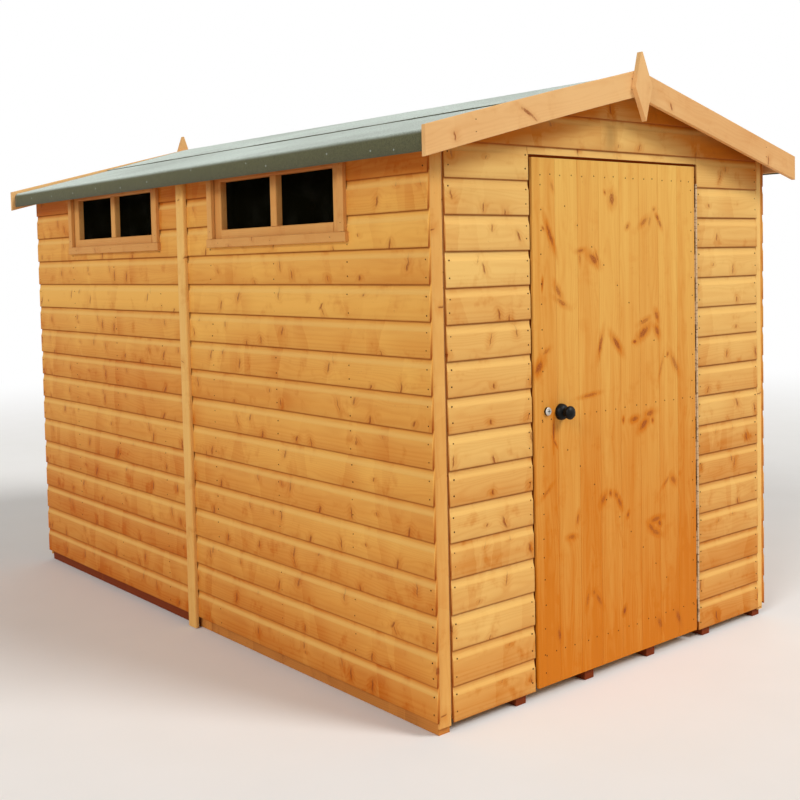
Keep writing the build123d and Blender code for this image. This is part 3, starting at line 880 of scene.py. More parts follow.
@dataclass(frozen=True)
class MineralFelt:
    """Green roofing felt covered with slate granules, paler on its upper faces with a painted sky reflection."""

    name: str = "mineral_felt"
    shade: Colour = linear(84, 83, 52)
    # Painted sky reflection: the colour that upward faces pale towards.
    sky_reflection: Colour = linear(200, 212, 202)
    worn: Colour = linear(62, 64, 50)
    granule: float = 2.4 * MM
    cloud_size: Size = (2.4, 1.1, 2.4)
    # How far up a face must look for the painted sky reflection, and how clouds of noise spread it.
    sky_lit_slopes: Pair = (0.1, 0.95)
    pale_share: Pair = (0.7, 0.62)
    flecks: Size = (0.55, 0.3, 0.58)
    wear_scale: float = 26.0
    wear_edge: Pair = (0.62, 0.75)
    wear: float = 0.18
    ripple_scale: float = 40.0
    relief: Pair = (-0.8, 0.8)
    relief_depth: float = 0.9 * MM
    rough: float = 0.86
    sheen: Pair = (0.12, 0.45)

    def make(self) -> Finish:
        """Draws the material.

        Formula: granules are cells of their own shade and height, and the painted sky reflection
        is a soft step of how far a face looks up, times clouds of noise.

        Returns:
            The material.
        """
        pen = Sketch(self.name)
        place = pen.own()
        granule = pen.node("TexVoronoi", {"Vector": place, "Scale": 1 / self.granule})
        chance = pen.split(granule.outputs["Color"])[0]
        cloud = pen.noise(place, self.cloud_size, 4.0)
        # Upward faces pale: a painted sky reflection.
        up = pen.split(pen.node("NewGeometry", {}).outputs["Normal"])[2]
        clouds = pen.total((cloud, self.pale_share[0]), self.pale_share[1])
        pale_share = pen.times(pen.ease(up, *self.sky_lit_slopes), clouds, clamp=True)
        colour = pen.mix(pale_share, self.shade, self.sky_reflection)
        fleck = pen.total((chance, self.flecks[0]), (cloud, self.flecks[1]), self.flecks[2])
        colour = pen.mix(1.0, colour, pen.joined(fleck, fleck, fleck), "MULTIPLY")
        wear = pen.ease(pen.noise(place, self.wear_scale, 3.0), *self.wear_edge)
        colour = pen.mix(pen.times(wear, self.wear), colour, self.worn)
        heights = (granule.outputs["Distance"], pen.noise(place, self.ripple_scale))
        relief = pen.total(*zip(heights, self.relief))
        weight, spread = self.sheen
        return pen.finish(colour, self.rough, relief, self.relief_depth, Sheen_Weight=weight, Sheen_Roughness=spread)


@dataclass(frozen=True)
class Metal:
    """Plated, painted or rusting metal, with faint scratches and dirt in its colour."""

    name: str
    colour: Colour
    dirt: Colour
    metallic: float
    rough: float
    scratch_size: Size = (240.0, 240.0, 12.0)
    specular: float = 0.5
    dirt_share: float = 0.6
    dirt_size: Size = (90.0, 90.0, 90.0)
    dirt_edge: Pair = (0.5, 0.66)
    roughness: Pair = (0.2, 0.2)
    relief: Pair = (0.3, 0.5)
    relief_depth: float = 0.06 * MM
    slots_from: float | None = None
    slot_depth: float = 0.2 * MM
    slot_shade: Colour = linear(24, 20, 14)

    def make(self) -> Finish:
        """Draws the material.

        Formula: dirt is a soft step of noise, roughness rises with fine scratches, and what lies
        further back than slots_from, the y of a slot's shade, is dark.

        Returns:
            The material.
        """
        pen = Sketch(self.name)
        place = pen.own()
        spots = pen.ease(pen.noise(place, self.dirt_size, 4.0, 0.65), *self.dirt_edge)
        lines = pen.noise(place, self.scratch_size, 3.0)
        colour = pen.mix(pen.times(spots, self.dirt_share), self.colour, self.dirt)
        if self.slots_from is not None:
            sunk = pen.ease(pen.split(place)[1], self.slots_from - self.slot_depth, self.slots_from)
            colour = pen.mix(sunk, colour, self.slot_shade)
        rough = pen.total(*zip((lines, spots), self.roughness), self.rough - self.roughness[0] / 2)
        relief = pen.total(*zip((lines, spots), self.relief))
        sockets = {"Metallic": self.metallic, "Specular_IOR_Level": self.specular}
        return pen.finish(colour, rough, relief, self.relief_depth, **sockets)


@dataclass(frozen=True)
class Glazing:
    """Clear sheet, painted dark and almost opaque as shade for the unlit room behind it, a little dusty, without a
    reflection.
    """

    name: str = "clear_sheet"
    # Painted shade: the dark of the unlit room behind the sheet.
    tint: Colour = linear(9, 8, 3)
    dirt: Colour = linear(150, 150, 140)
    dust_scale: float = 9.0
    dust_edge: Pair = (0.45, 0.8)
    dust_share: float = 0.02
    cover: Pair = (0.06, 0.9)
    rough: Pair = (0.1, 0.05)

    def make(self) -> Finish:
        """Draws the material: dust is noise, and makes the sheet less clear and rougher.

        Returns:
            The material.
        """
        pen = Sketch(self.name)
        pale_share = pen.ease(pen.noise(pen.own(), self.dust_scale, 5.0, 0.6), *self.dust_edge)
        colour = pen.mix(pen.times(pale_share, self.dust_share), self.tint, self.dirt)
        pen.put(pen.shader.inputs["Alpha"], pen.total((pale_share, self.cover[0]), self.cover[1]))
        return pen.finish(colour, pen.total((pale_share, self.rough[0]), self.rough[1]), Specular_IOR_Level=0.0)


# ---------------------------------------------------------------- small fittings


@dataclass(frozen=True)
class NailHeads:
    """Flat round heads of one kind of nail."""

    radius: float
    rise: float = 0.25 * MM
    sunk: float = 0.6 * MM
    taper: float = 0.85
    crown: float = 1.25
    steps: int = 8

    def drive(
        self, name: str, spots: Array, out: tuple, finish: Finish, settle: bool = True, body: str = "shed"
    ) -> None:
        """Makes one piece of the heads at many spots, all facing one way.

        Formula: two rings of eight points round each spot, one sunk and one level with the rise,
        and a point on top; ring points are spot + radius (u cos a + v sin a).

        Args:
            name: the piece's name.
            spots: the heads' centres.
            out: the way they face.
            finish: their material.
            settle: whether the spots move with the settled roof.
            body: the CAD body that they move with.
        """
        spots = SHED.settled(spots) if settle else spots
        out = np.array(out, float)
        side = np.cross(out, (0.0, 0.0, 1.0) if abs(out[2]) < 0.5 else (0.0, 1.0, 0.0))
        side /= np.linalg.norm(side)
        turn = np.arange(self.steps) * 2 * math.pi / self.steps
        ring = np.outer(np.cos(turn), side) + np.outer(np.sin(turn), np.cross(out, side))
        foot, rim = ring * self.radius - out * self.sunk, ring * self.radius * self.taper + out * self.rise
        head = np.concatenate((foot, rim, [out * self.rise * self.crown]))
        step = np.arange(self.steps)
        after = (step + 1) % self.steps
        sides = np.stack((step, after, after + self.steps, step + self.steps), 1)
        caps = np.stack((step + self.steps, after + self.steps, np.full(self.steps, 2 * self.steps)), 1)
        first = np.arange(len(spots))[:, None, None] * len(head)
        faces = (sides + first).reshape(-1, 4).tolist() + (caps + first).reshape(-1, 3).tolist()
        place(surface(name, (spots[:, None, :] + head).reshape(-1, 3), faces, finish), body)


BOARD_NAILS = NailHeads(2.9 * MM)
VERGE_NAILS = NailHeads(2.2 * MM)
TRIM_NAILS = NailHeads(1.7 * MM)
CLOUTS = NailHeads(3.4 * MM, 0.5 * MM)


def lathe(name: str, line: Array, centre: tuple, finish: Finish, count: int = 48) -> bpy.types.Object:
    """Turns a profile about a line that runs out of the door, towards -Y.

    Formula: point (i, j) is the centre + (r cos a, -h, r sin a), with (r, h) the profile's
    point i and a the angle of step j; the first and last radius are nought.

    Args:
        name: the piece's name.
        line: the profile's (radius, height) points.
        centre: where the axis leaves the door.
        finish: the material.
        count: steps round the axis.

    Returns:
        The object.
    """
    turn = np.arange(count) * 2 * math.pi / count
    radius, height = line[:, :1], line[:, 1:]
    parts = (radius * np.cos(turn), -height + 0 * turn, radius * np.sin(turn))
    points = np.stack(parts, -1).reshape(-1, 3) + np.array(centre)
    index = np.arange(len(line) * count).reshape(len(line), count)
    a, b = index[:-1], index[1:]
    faces = np.stack((a, b, np.roll(b, -1, 1), np.roll(a, -1, 1)), -1).reshape(-1, 4).tolist()
    faces += [index[0].tolist(), index[-1, ::-1].tolist()]
    return surface(name, points, faces, finish, 40)


# ---------------------------------------------------------------- walls


@dataclass(frozen=True)
class Shiplap:
    """Section of one wall board: a flat face, a cove at its top and a lap over the next board."""

    pitch: float = 0.115
    cove_depth: float = 0.0055
    cove_height: float = 0.026
    cove_flat: float = 0.006
    tongue: float = 0.0075
    clear: float = 0.4 * MM
    arris: Pair = (0.8 * MM, 0.9 * MM)
    # Heights on the face over which the painted shade at the lap fades.
    shade_heights: Pair = (5 * MM, 50 * MM)
    cove_start: float = 1.5 * MM
    rear_start: float = 3 * MM
    # Painted light at the face, cove and rear points: above nought, painted shade on the lip and behind the lap; below
    # nought, a paler cove, for thinner stain and painted highlight where it faces up.
    face_shade_and_light: tuple[float, ...] = (0.9, 0.4, 0.12, -0.05, -0.3)
    cove_stain_and_light: tuple[float, ...] = (-0.5, -0.9, -1.0, -1.0, -0.75, -0.4, -0.1, 0.15)
    rear_shade: tuple[float, ...] = (0.6, 1.0, 0.0, 0.0, 1.0, 1.0)

    def outline(self, low: float = 0.0, high: float = 1.0) -> tuple:
        """The section as (depth, height) points, cut off below and above.

        Formula: the cove is a hollow arc of radius (d d + h h) / 2 d, for its depth d and height
        h; it leaves the face at an arris and ends upright behind the lap.

        Args:
            low, high: heights between which the board is left.

        Returns:
            The points, and at each the painted shade at the lap, or the paler colour of thin stain and painted
            highlight in the cove.
        """
        radius = (self.cove_depth**2 + self.cove_height**2) / (2 * self.cove_depth)
        turn = np.linspace(math.asin(self.cove_height / radius), 0, len(self.cove_stain_and_light))
        arc_top = self.pitch - self.cove_flat
        cove = np.stack((self.cove_depth - radius * (1 - np.cos(turn)), arc_top - radius * np.sin(turn)), 1)
        top = self.pitch + self.tongue - self.clear
        lip = self.cove_depth + self.clear
        heights = (self.arris[1], *self.shade_heights, arc_top - self.cove_height - self.cove_start)
        face = [(self.arris[0], 0), *[(0, height) for height in heights]]
        rear = [(self.cove_depth, self.pitch - self.rear_start), (self.cove_depth, top), (SHED.board, top)]
        rear += [(SHED.board, self.tongue), (lip, self.tongue), (lip, 0)]
        points = np.concatenate((face, cove, rear))
        stain_and_painted_light = np.array([*self.face_shade_and_light, *self.cove_stain_and_light, *self.rear_shade])
        points[:, 1] = np.clip(points[:, 1], low, high)
        fresh = np.any(np.abs(points - np.roll(points, 1, 0)) > SAME_PLACE, axis=1)
        return points[fresh], stain_and_painted_light[fresh]


SHIPLAP = Shiplap()
BOARD_WAVE = 0.5 * MM


@dataclass(frozen=True)
class SideWall:
    """Boards of one long wall in two panels, cut round the windows on the left."""

    side: Side
    tone: float
    back_tone: float = 0.1
    foot: float = 0.047
    rows: int = 16
    nail_lines: tuple[float, ...] = ()
    nail_heights: Pair = (0.017, 0.072)
    nail_stray: Pair = (4 * MM, 11 * MM)
    least_nailed: float = 0.9

    def spans(self, row: int) -> list:
        """Finds the parts of one row.

        Args:
            row: the row's number from the ground.

        Returns:
            Where each part starts and ends, and its lowest and highest height.
        """
        foot = self.foot + row * SHIPLAP.pitch
        whole = [(-SHED.half_length, -SHED.panel_joint), (SHED.panel_joint, SHED.half_length)]
        top = SHED.under_roof(SHED.half_width) - foot
        if self.side is Side.RIGHT or foot + SHIPLAP.pitch < SHED.window_bottom:
            return [(*panel, 0.0, top) for panel in whole]
        found = []
        for (start, end), centre in zip(whole, SHED.windows):
            left, right = centre - SHED.window_half, centre + SHED.window_half
            found += [(start, left, 0.0, top), (right, end, 0.0, top)]
            if foot < SHED.window_bottom:
                found.append((left, right, 0.0, SHED.window_bottom - foot))
            if foot + SHIPLAP.pitch > SHED.window_top:
                found.append((left, right, SHED.window_top - foot, top))
        return found

    def build(self, finish: Finish, nails: Finish, nodes: tuple) -> None:
        """Lays the boards and drives their nails.

        Args:
            finish: the boards' material.
            nails: the nails' material.
            nodes: the CAD nodes that the boards replace.
        """
        word, sign = self.side.name.lower(), self.side.value
        pile = Pile(word + "_wall_shiplap", 11 + sign)
        spots = []
        for row in range(self.rows):
            foot = self.foot + row * SHIPLAP.pitch
            boards = [pile.draw(self.tone), pile.draw(self.tone + self.back_tone)]
            for start, end, low, high in self.spans(row):
                section, stain_and_painted_light = SHIPLAP.outline(low, high)
                outline = np.stack((sign * (SHED.half_width - section[:, 0]), foot + section[:, 1]), 1)
                pile.timber(outline, start, end, draw=boards[int(start >= 0)], stain_and_painted_light=stain_and_painted_light, wave=BOARD_WAVE)
                if high - low > SHIPLAP.pitch * self.least_nailed:
                    lines = np.array([line for line in self.nail_lines if start < line < end])
                    across, up = self.nail_stray
                    for height in self.nail_heights:
                        y = lines + pile.random.uniform(-across, across, len(lines))
                        z = foot + height + pile.random.uniform(0, up, len(lines))
                        spots.append(np.stack((0 * y + sign * SHED.half_width, y, z), 1))
        pile.piece(finish, "wall_timber", *nodes)
        BOARD_NAILS.drive(word + "_wall_nails", np.concatenate(spots), (sign, 0, 0), nails)


@dataclass(frozen=True)
class Gable:
    """Boards of one gable, cut to the roof and, at the front, round the door."""

    end: End
    tone: float
    right_tone: float = 0.1
    foot: float = 0.033
    rows: int = 19
    left: float = -0.85
    right: float = 0.878
    ridge_clear: float = 2 * MM
    door_stray: float = 2.2 * MM
    nail_lines: tuple[float, ...] = ()
    nail_margin: float = 14 * MM
    nail_heights: Pair = (0.034, 0.084)
    nail_stray: Size = (3 * MM, 6 * MM, 5 * MM)
    roof_margin: float = 12 * MM
    least_nailed: float = 0.7

    def spans(self, foot: float) -> list:
        """Finds the parts of one row.

        Args:
            foot: the row's lowest height.

        Returns:
            Where each part starts and ends, and its lowest and highest height.
        """
        top = SHED.under_roof(0.0) - foot - self.ridge_clear
        if self.end is End.BACK or foot >= SHED.opening_top:
            return [(self.left, self.right, 0.0, top)]
        found = [(self.left, SHED.opening[0], 0.0, top), (SHED.opening[1], self.right, 0.0, top)]
        if foot + SHIPLAP.pitch > SHED.opening_top:
            found.append((*SHED.opening, SHED.opening_top - foot, top))
        return found

    def build(self, finish: Finish, nails: Finish, nodes: tuple) -> None:
        """Lays the boards, their ends cut to the slope, and drives their nails.

        Formula: a board's line at height z ends where z meets the underside of the roof.

        Args:
            finish: the boards' material.
            nails: the nails' material.
            nodes: the CAD nodes that the boards replace.
        """
        word, sign = self.end.name.lower(), self.end.value
        pile = Pile(word + "_gable_shiplap", 31 + sign)
        spots = []
        for row in range(self.rows):
            foot = self.foot + row * SHIPLAP.pitch
            draw = pile.draw(self.tone)
            for start, end, low, high in self.spans(foot):
                section, stain_and_painted_light = SHIPLAP.outline(low, high)
                outline = np.stack((sign * (SHED.half_length - section[:, 0]), foot + section[:, 1]), 1)
                reach = (SHED.under_roof(0.0) - outline[:, 1]) / SHED.slope
                ends = np.array([start, end])
                if self.end is End.FRONT and low == 0.0:
                    slip = pile.random.uniform(0, self.door_stray, 2)
                    ends += np.where(np.isin(ends, SHED.opening), (slip[0], -slip[1]), 0.0)
                pile.timber(
                    outline,
                    np.maximum(ends[0], -reach),
                    np.minimum(ends[1], reach),
                    ALONG_X,
                    draw=draw if end < 0.5 or self.end is End.BACK else pile.draw(self.tone + self.right_tone),
                    stain_and_painted_light=stain_and_painted_light,
                    wave=BOARD_WAVE,
                )
                if high - low < SHIPLAP.pitch * self.least_nailed:
                    continue
                lines = np.array(self.nail_lines or (start + self.nail_margin, end - self.nail_margin))
                across, down, up = self.nail_stray
                for height in self.nail_heights:
                    x = lines + pile.random.uniform(-across, across, len(lines))
                    z = foot + height + pile.random.uniform(-down, up, len(x))
                    y = 0 * x + sign * SHED.half_length
                    inside = z < SHED.under_roof(x) - self.roof_margin
                    spots.append(np.stack((x, y, z), 1)[inside])
        pile.piece(finish, "wall_timber", *nodes)
        BOARD_NAILS.drive(word + "_gable_nails", np.concatenate(spots), (0, sign, 0), nails)


@dataclass(frozen=True)
class Strips:
    """Planed strips that cover the corners and the joints of the side walls."""

    corner_bottom: float = 0.026
    corner_recess: float = 0.003
    left_width: float = 0.051
    right_width: float = 0.0335
    joint_width: float = 0.058
    joint_thickness: float = 0.017
    joint_bottom: float = 0.004
    corner_tones: Pair = (0.1, -0.5)
    corner_arris: float = 1.2 * MM
    joint_tone: float = -0.05
    joint_arris: float = 5.5 * MM

    def build(self, finish: Finish) -> None:
        """Stands the strips up, their tops cut to the roof.

        Args:
            finish: the strips' material.
        """
        corners = Pile("corner_strip_boards", 51)
        outer = SHED.half_width - SHED.board
        spans = ((-outer, -outer + self.left_width), (outer - self.right_width, outer))
        for end in End:
            depth = beyond(end, SHED.half_length - self.corner_recess, SHED.half_length - SHED.board)
            for span, tone in zip(spans, self.corner_tones):
                outline = eased(rect(span, depth), self.corner_arris)
                top = SHED.under_roof(outline[:, 0])
                corners.timber(outline, self.corner_bottom, top, ALONG_Z, tone=tone)
        corners.piece(finish, "trim_timber", "corner_strips")
        joints = Pile("joint_strip_boards", 52)
        seen, hidden = self.joint_arris, CRISP
        for side, radii in ((Side.LEFT, (seen, hidden, hidden, seen)), (Side.RIGHT, (hidden, seen, seen, hidden))):
            faces = beyond(side, SHED.half_width, SHED.half_width + self.joint_thickness)
            outline = eased(rect(faces, around(0.0, self.joint_width)), radii)
            joints.timber(outline, self.joint_bottom, SHED.under_roof(outline[:, 0]), ALONG_Z, tone=self.joint_tone)
        joints.piece(finish, "trim_timber", "joint_strips")


# ---------------------------------------------------------------- framing and floor


@dataclass(frozen=True)
class Framing:
    """Studs, rails, posts and plates inside the boards."""

    post_width: float = 0.05
    stop_lap: float = 0.014
    beam_depth: float = 0.07
    purlin: float = 0.47
    purlin_depth: float = 0.055
    eaves_rail: float = 0.028
    eaves_rail_depth: float = 0.045
    batten: Pair = (0.028, 0.024)
    rail_arris: float = 1.2 * MM
    beam_arris: float = 1 * MM
    # Depth of the posts' outer faces that take painted shade, seen through the gap round the door.
    shaded_face: float = 4 * MM
    side_shares: tuple[float, ...] = (0, 1 / 3, 2 / 3, 1)
    over_door: float = 4.0

    def side_x(self, side: Side) -> Pair:
        """Inner and outer x of the framing of one long wall, the lower first."""
        return beyond(side, SHED.half_width - SHED.frame_inner, SHED.half_width - SHED.board)

    def end_y(self, end: End) -> Pair:
        """Inner and outer y of the framing of one gable, the lower first."""
        return beyond(end, SHED.half_length - SHED.frame_inner, SHED.half_length - SHED.board)

    def gap_shade(self, y: Array) -> Array:
        """Painted shade on the outer faces of the door's posts and head, seen through the gap round the door, from an
        outline's y.
        """
        return np.where(y < self.end_y(End.FRONT)[0] + self.shaded_face, 1.0, 0.0)

    def rails(self, finish: Finish) -> None:
        """Rails on the floor, under the windows, along the walls' tops and up the gables.

        Args:
            finish: the timbers' material.
        """
        inner, stud, joint = SHED.half_width - SHED.frame_inner, SHED.stud, SHED.panel_joint
        posts = (SHED.door[0] + self.stop_lap - self.post_width, SHED.door[1] - self.stop_lap + self.post_width)
        level = (SHED.floor_top, SHED.floor_top + stud)
        panels = ((-SHED.half_length + SHED.board, -joint), (joint, SHED.half_length - SHED.board))
        bottom, plates = Pile("bottom_rail_timbers", 61), Pile("wall_plate_timbers", 62)
        raking = Pile("raking_rail_timbers", 63)
        for side in Side:
            span = self.side_x(side)
            for panel in panels:
                bottom.beam(span, panel, level, ALONG_Y)
                tops = [(x, SHED.under_roof(x)) for x in reversed(span)]
                outline = [(span[0], SHED.window_top), (span[1], SHED.window_top), *tops]
                plates.timber(eased(outline, self.rail_arris), *panel)
            slope = down_slope(side, SHED.under_roof(0.0))
            for end in End:
                outline = eased(rect((-stud, 0.0), self.end_y(end)), self.rail_arris)
                ends = [cut_at(slope, outline, 0, side.value * x) for x in (joint, inner)]
                raking.timber(outline, *ends, slope)
        for x, end in (((-inner, posts[0]), End.FRONT), ((posts[1], inner), End.FRONT), ((-inner, inner), End.BACK)):
            bottom.beam(x, self.end_y(end), level, ALONG_X)
        for pile, node in ((bottom, "bottom_rails"), (plates, "wall_plates"), (raking, "gable_raking_rails")):
            pile.piece(finish, "framing_timber", node)
        sills = Pile("sill_rail_timbers", 64)
        for centre in SHED.windows:
            low = SHED.window_bottom
            sills.beam(self.side_x(Side.LEFT), around(centre, 2 * SHED.window_half), (low - stud, low), ALONG_Y)
        sills.piece(finish, "framing_timber", "window_sill_rails")

    def studs(self, finish: Finish) -> None:
        """Uprights of the long walls and the gables, with the posts and the head of the door.

        Args:
            finish: the timbers' material.
        """
        stud, foot = SHED.stud, SHED.floor_top + SHED.stud
        last, joint = SHED.half_length - SHED.board - stud / 2, stud / 2 + SHED.panel_joint
        right = [sign * (joint + (last - joint) * share) for sign in (-1, 1) for share in self.side_shares]
        beside = SHED.window_half + stud / 2
        left = [-last, -joint, joint, last, *[centre + sign * beside for centre in SHED.windows for sign in (-1, 1)]]
        for side, places in ((Side.LEFT, left), (Side.RIGHT, right)):
            pile = Pile(side.name.lower() + "_stud_timbers", 71 + side.value)
            for y in places:
                pile.beam(self.side_x(side), around(y, stud), (foot, SHED.window_top), ALONG_Z)
            if side is Side.LEFT:
                for y in SHED.windows:
                    pile.beam(self.side_x(side), around(y, stud), (foot, SHED.window_bottom - stud), ALONG_Z)
            pile.piece(finish, "framing_timber", side.name.lower() + "_wall_studs")
        inner, raking = SHED.half_width - SHED.frame_inner, stud * SHED.upright
        edge = inner - stud / 2
        centre, reach = sum(SHED.door) / 2, self.over_door * stud
        head = (SHED.door_heights[1] - self.stop_lap, SHED.door_heights[1] - self.stop_lap + stud)
        front = [(-edge, foot), (edge, foot), (centre + reach, head[1]), (centre - reach, head[1])]
        back = [(place, foot) for place in (-edge, -edge / 3, edge / 3, edge)]
        for end, uprights in ((End.FRONT, front), (End.BACK, back)):
            pile = Pile(end.name.lower() + "_stud_timbers", 75 + end.value)
            for x, low in uprights:
                outline = eased(rect(around(x, stud), self.end_y(end)))
                pile.timber(outline, low, SHED.under_roof(outline[:, 0]) - raking, ALONG_Z)
            pile.piece(finish, "framing_timber", end.name.lower() + "_gable_studs")
        posts = Pile("door_post_timbers", 78)
        laps = (SHED.door[0] + self.stop_lap, SHED.door[1] - self.stop_lap)
        for span in ((laps[0] - self.post_width, laps[0]), (laps[1], laps[1] + self.post_width)):
            outline = eased(rect(span, self.end_y(End.FRONT)))
            top = SHED.under_roof(outline[:, 0]) - raking
            # Outer faces darkened: painted shade in the gap round the door.
            posts.timber(outline, SHED.floor_top, top, ALONG_Z, stain_and_painted_light=self.gap_shade(outline[:, 1]))
        posts.piece(finish, "framing_timber", "door_posts")
        over = Pile("door_head_timber", 79)
        outline = eased(rect(self.end_y(End.FRONT), head))
        over.timber(outline, *laps, ALONG_X, stain_and_painted_light=self.gap_shade(outline[:, 0]))
        over.piece(finish, "framing_timber", "door_head")

    def roof_timbers(self, finish: Finish) -> None:
        """Ridge beam, purlins, eaves rails and the battens behind the bargeboards.

        Args:
            finish: the timbers' material.
        """
        half, span = SHED.stud / 2, SHED.half_length - SHED.frame_inner
        peak = SHED.under_roof(0.0)
        beams = Pile("ridge_beam_and_purlin_timbers", 81)
        base = peak - self.beam_depth
        sides = SHED.under_roof(half)
        outline = [(-half, base), (half, base), (half, sides), (0, peak), (-half, sides)]
        beams.timber(eased(outline, self.beam_arris), -span, span)
        rails = Pile("eaves_rail_timbers", 82)
        battens = Pile("verge_batten_timbers", 83)
        inner = SHED.eaves - self.eaves_rail
        for side in Side:
            a, b = (side.value * (self.purlin + shift) for shift in (-half, half))
            top = [(b, SHED.under_roof(b)), (a, SHED.under_roof(a))]
            low = [(x, z - self.purlin_depth) for x, z in reversed(top)]
            beams.timber(eased(top + low, self.beam_arris), -span, span)
            a, b = side.value * inner, side.value * SHED.eaves
            low = SHED.under_roof(b) - self.eaves_rail_depth
            outline = [(a, low), (b, low), (b, SHED.under_roof(b)), (a, SHED.under_roof(a))]
            rails.timber(eased(outline, self.rail_arris), -SHED.roof_half, SHED.roof_half)
            slope = down_slope(side, peak)
            for end in End:
                depth = beyond(end, SHED.roof_half, SHED.roof_half - self.batten[1])
                outline = eased(rect((-self.batten[0], 0.0), depth), self.beam_arris)
                ends = [cut_at(slope, outline, 0, side.value * x) for x in (SHED.panel_joint, inner)]
                battens.timber(outline, *ends, slope)
        for pile, node in ((beams, "ridge_beam_and_purlins"), (rails, "eaves_rails"), (battens, "verge_battens")):
            pile.piece(finish, "framing_timber", node)


@dataclass(frozen=True)
class Floor:
    """Boards of the floor in two halves, on bearers that run lengthwise."""

    clearance: float = 0.003
    bearer: Pair = (0.048, 0.045)
    bearers: int = 6
    inset: float = 0.003
    joint: float = 0.01
    boards: int = 14
    # Bearer tones: pale for the outer one at the front left, in the light; deep for the rest, partly their treated
    # colour and partly painted shade under the shed.
    tones: Pair = (-0.15, 0.9)
    lit_from: float = -0.8
    bearer_arris: float = 2 * MM
    board_arris: float = 0.8 * MM

    def build(self, boarding: Finish, treated: Finish) -> None:
        """Lays the bearers and the floor boards.

        Args:
            boarding: the boards' material.
            treated: the bearers' material.
        """
        across = SHED.half_width - SHED.board - self.clearance
        along = SHED.half_length - SHED.board - self.clearance
        first = across - self.inset - self.bearer[0] / 2
        low = Pile("bearer_timbers", 91)
        boards = Pile("floor_boards", 92)
        width = (along - self.joint) / self.boards
        for end in End:
            half = beyond(end, self.joint, along)
            for x in np.linspace(-first, first, self.bearers):
                # Painted shade: every bearer but the lit outer one at the front left takes the deep tone.
                tone = self.tones[0] if x < self.lit_from and end is End.FRONT else self.tones[1]
                low.beam(around(x, self.bearer[0]), half, (0.0, self.bearer[1]), ALONG_Y, tone, self.bearer_arris)
            for step in range(self.boards):
                y = (half[0] + step * width, half[0] + (step + 1) * width)
                z = (self.bearer[1], SHED.floor_top)
                boards.beam((-across, across), y, z, ALONG_X, radius=self.board_arris)
        low.piece(treated, "treated_timber", "bearers")
        boards.piece(boarding, "floor_timber", "floor")


# ---------------------------------------------------------------- roof


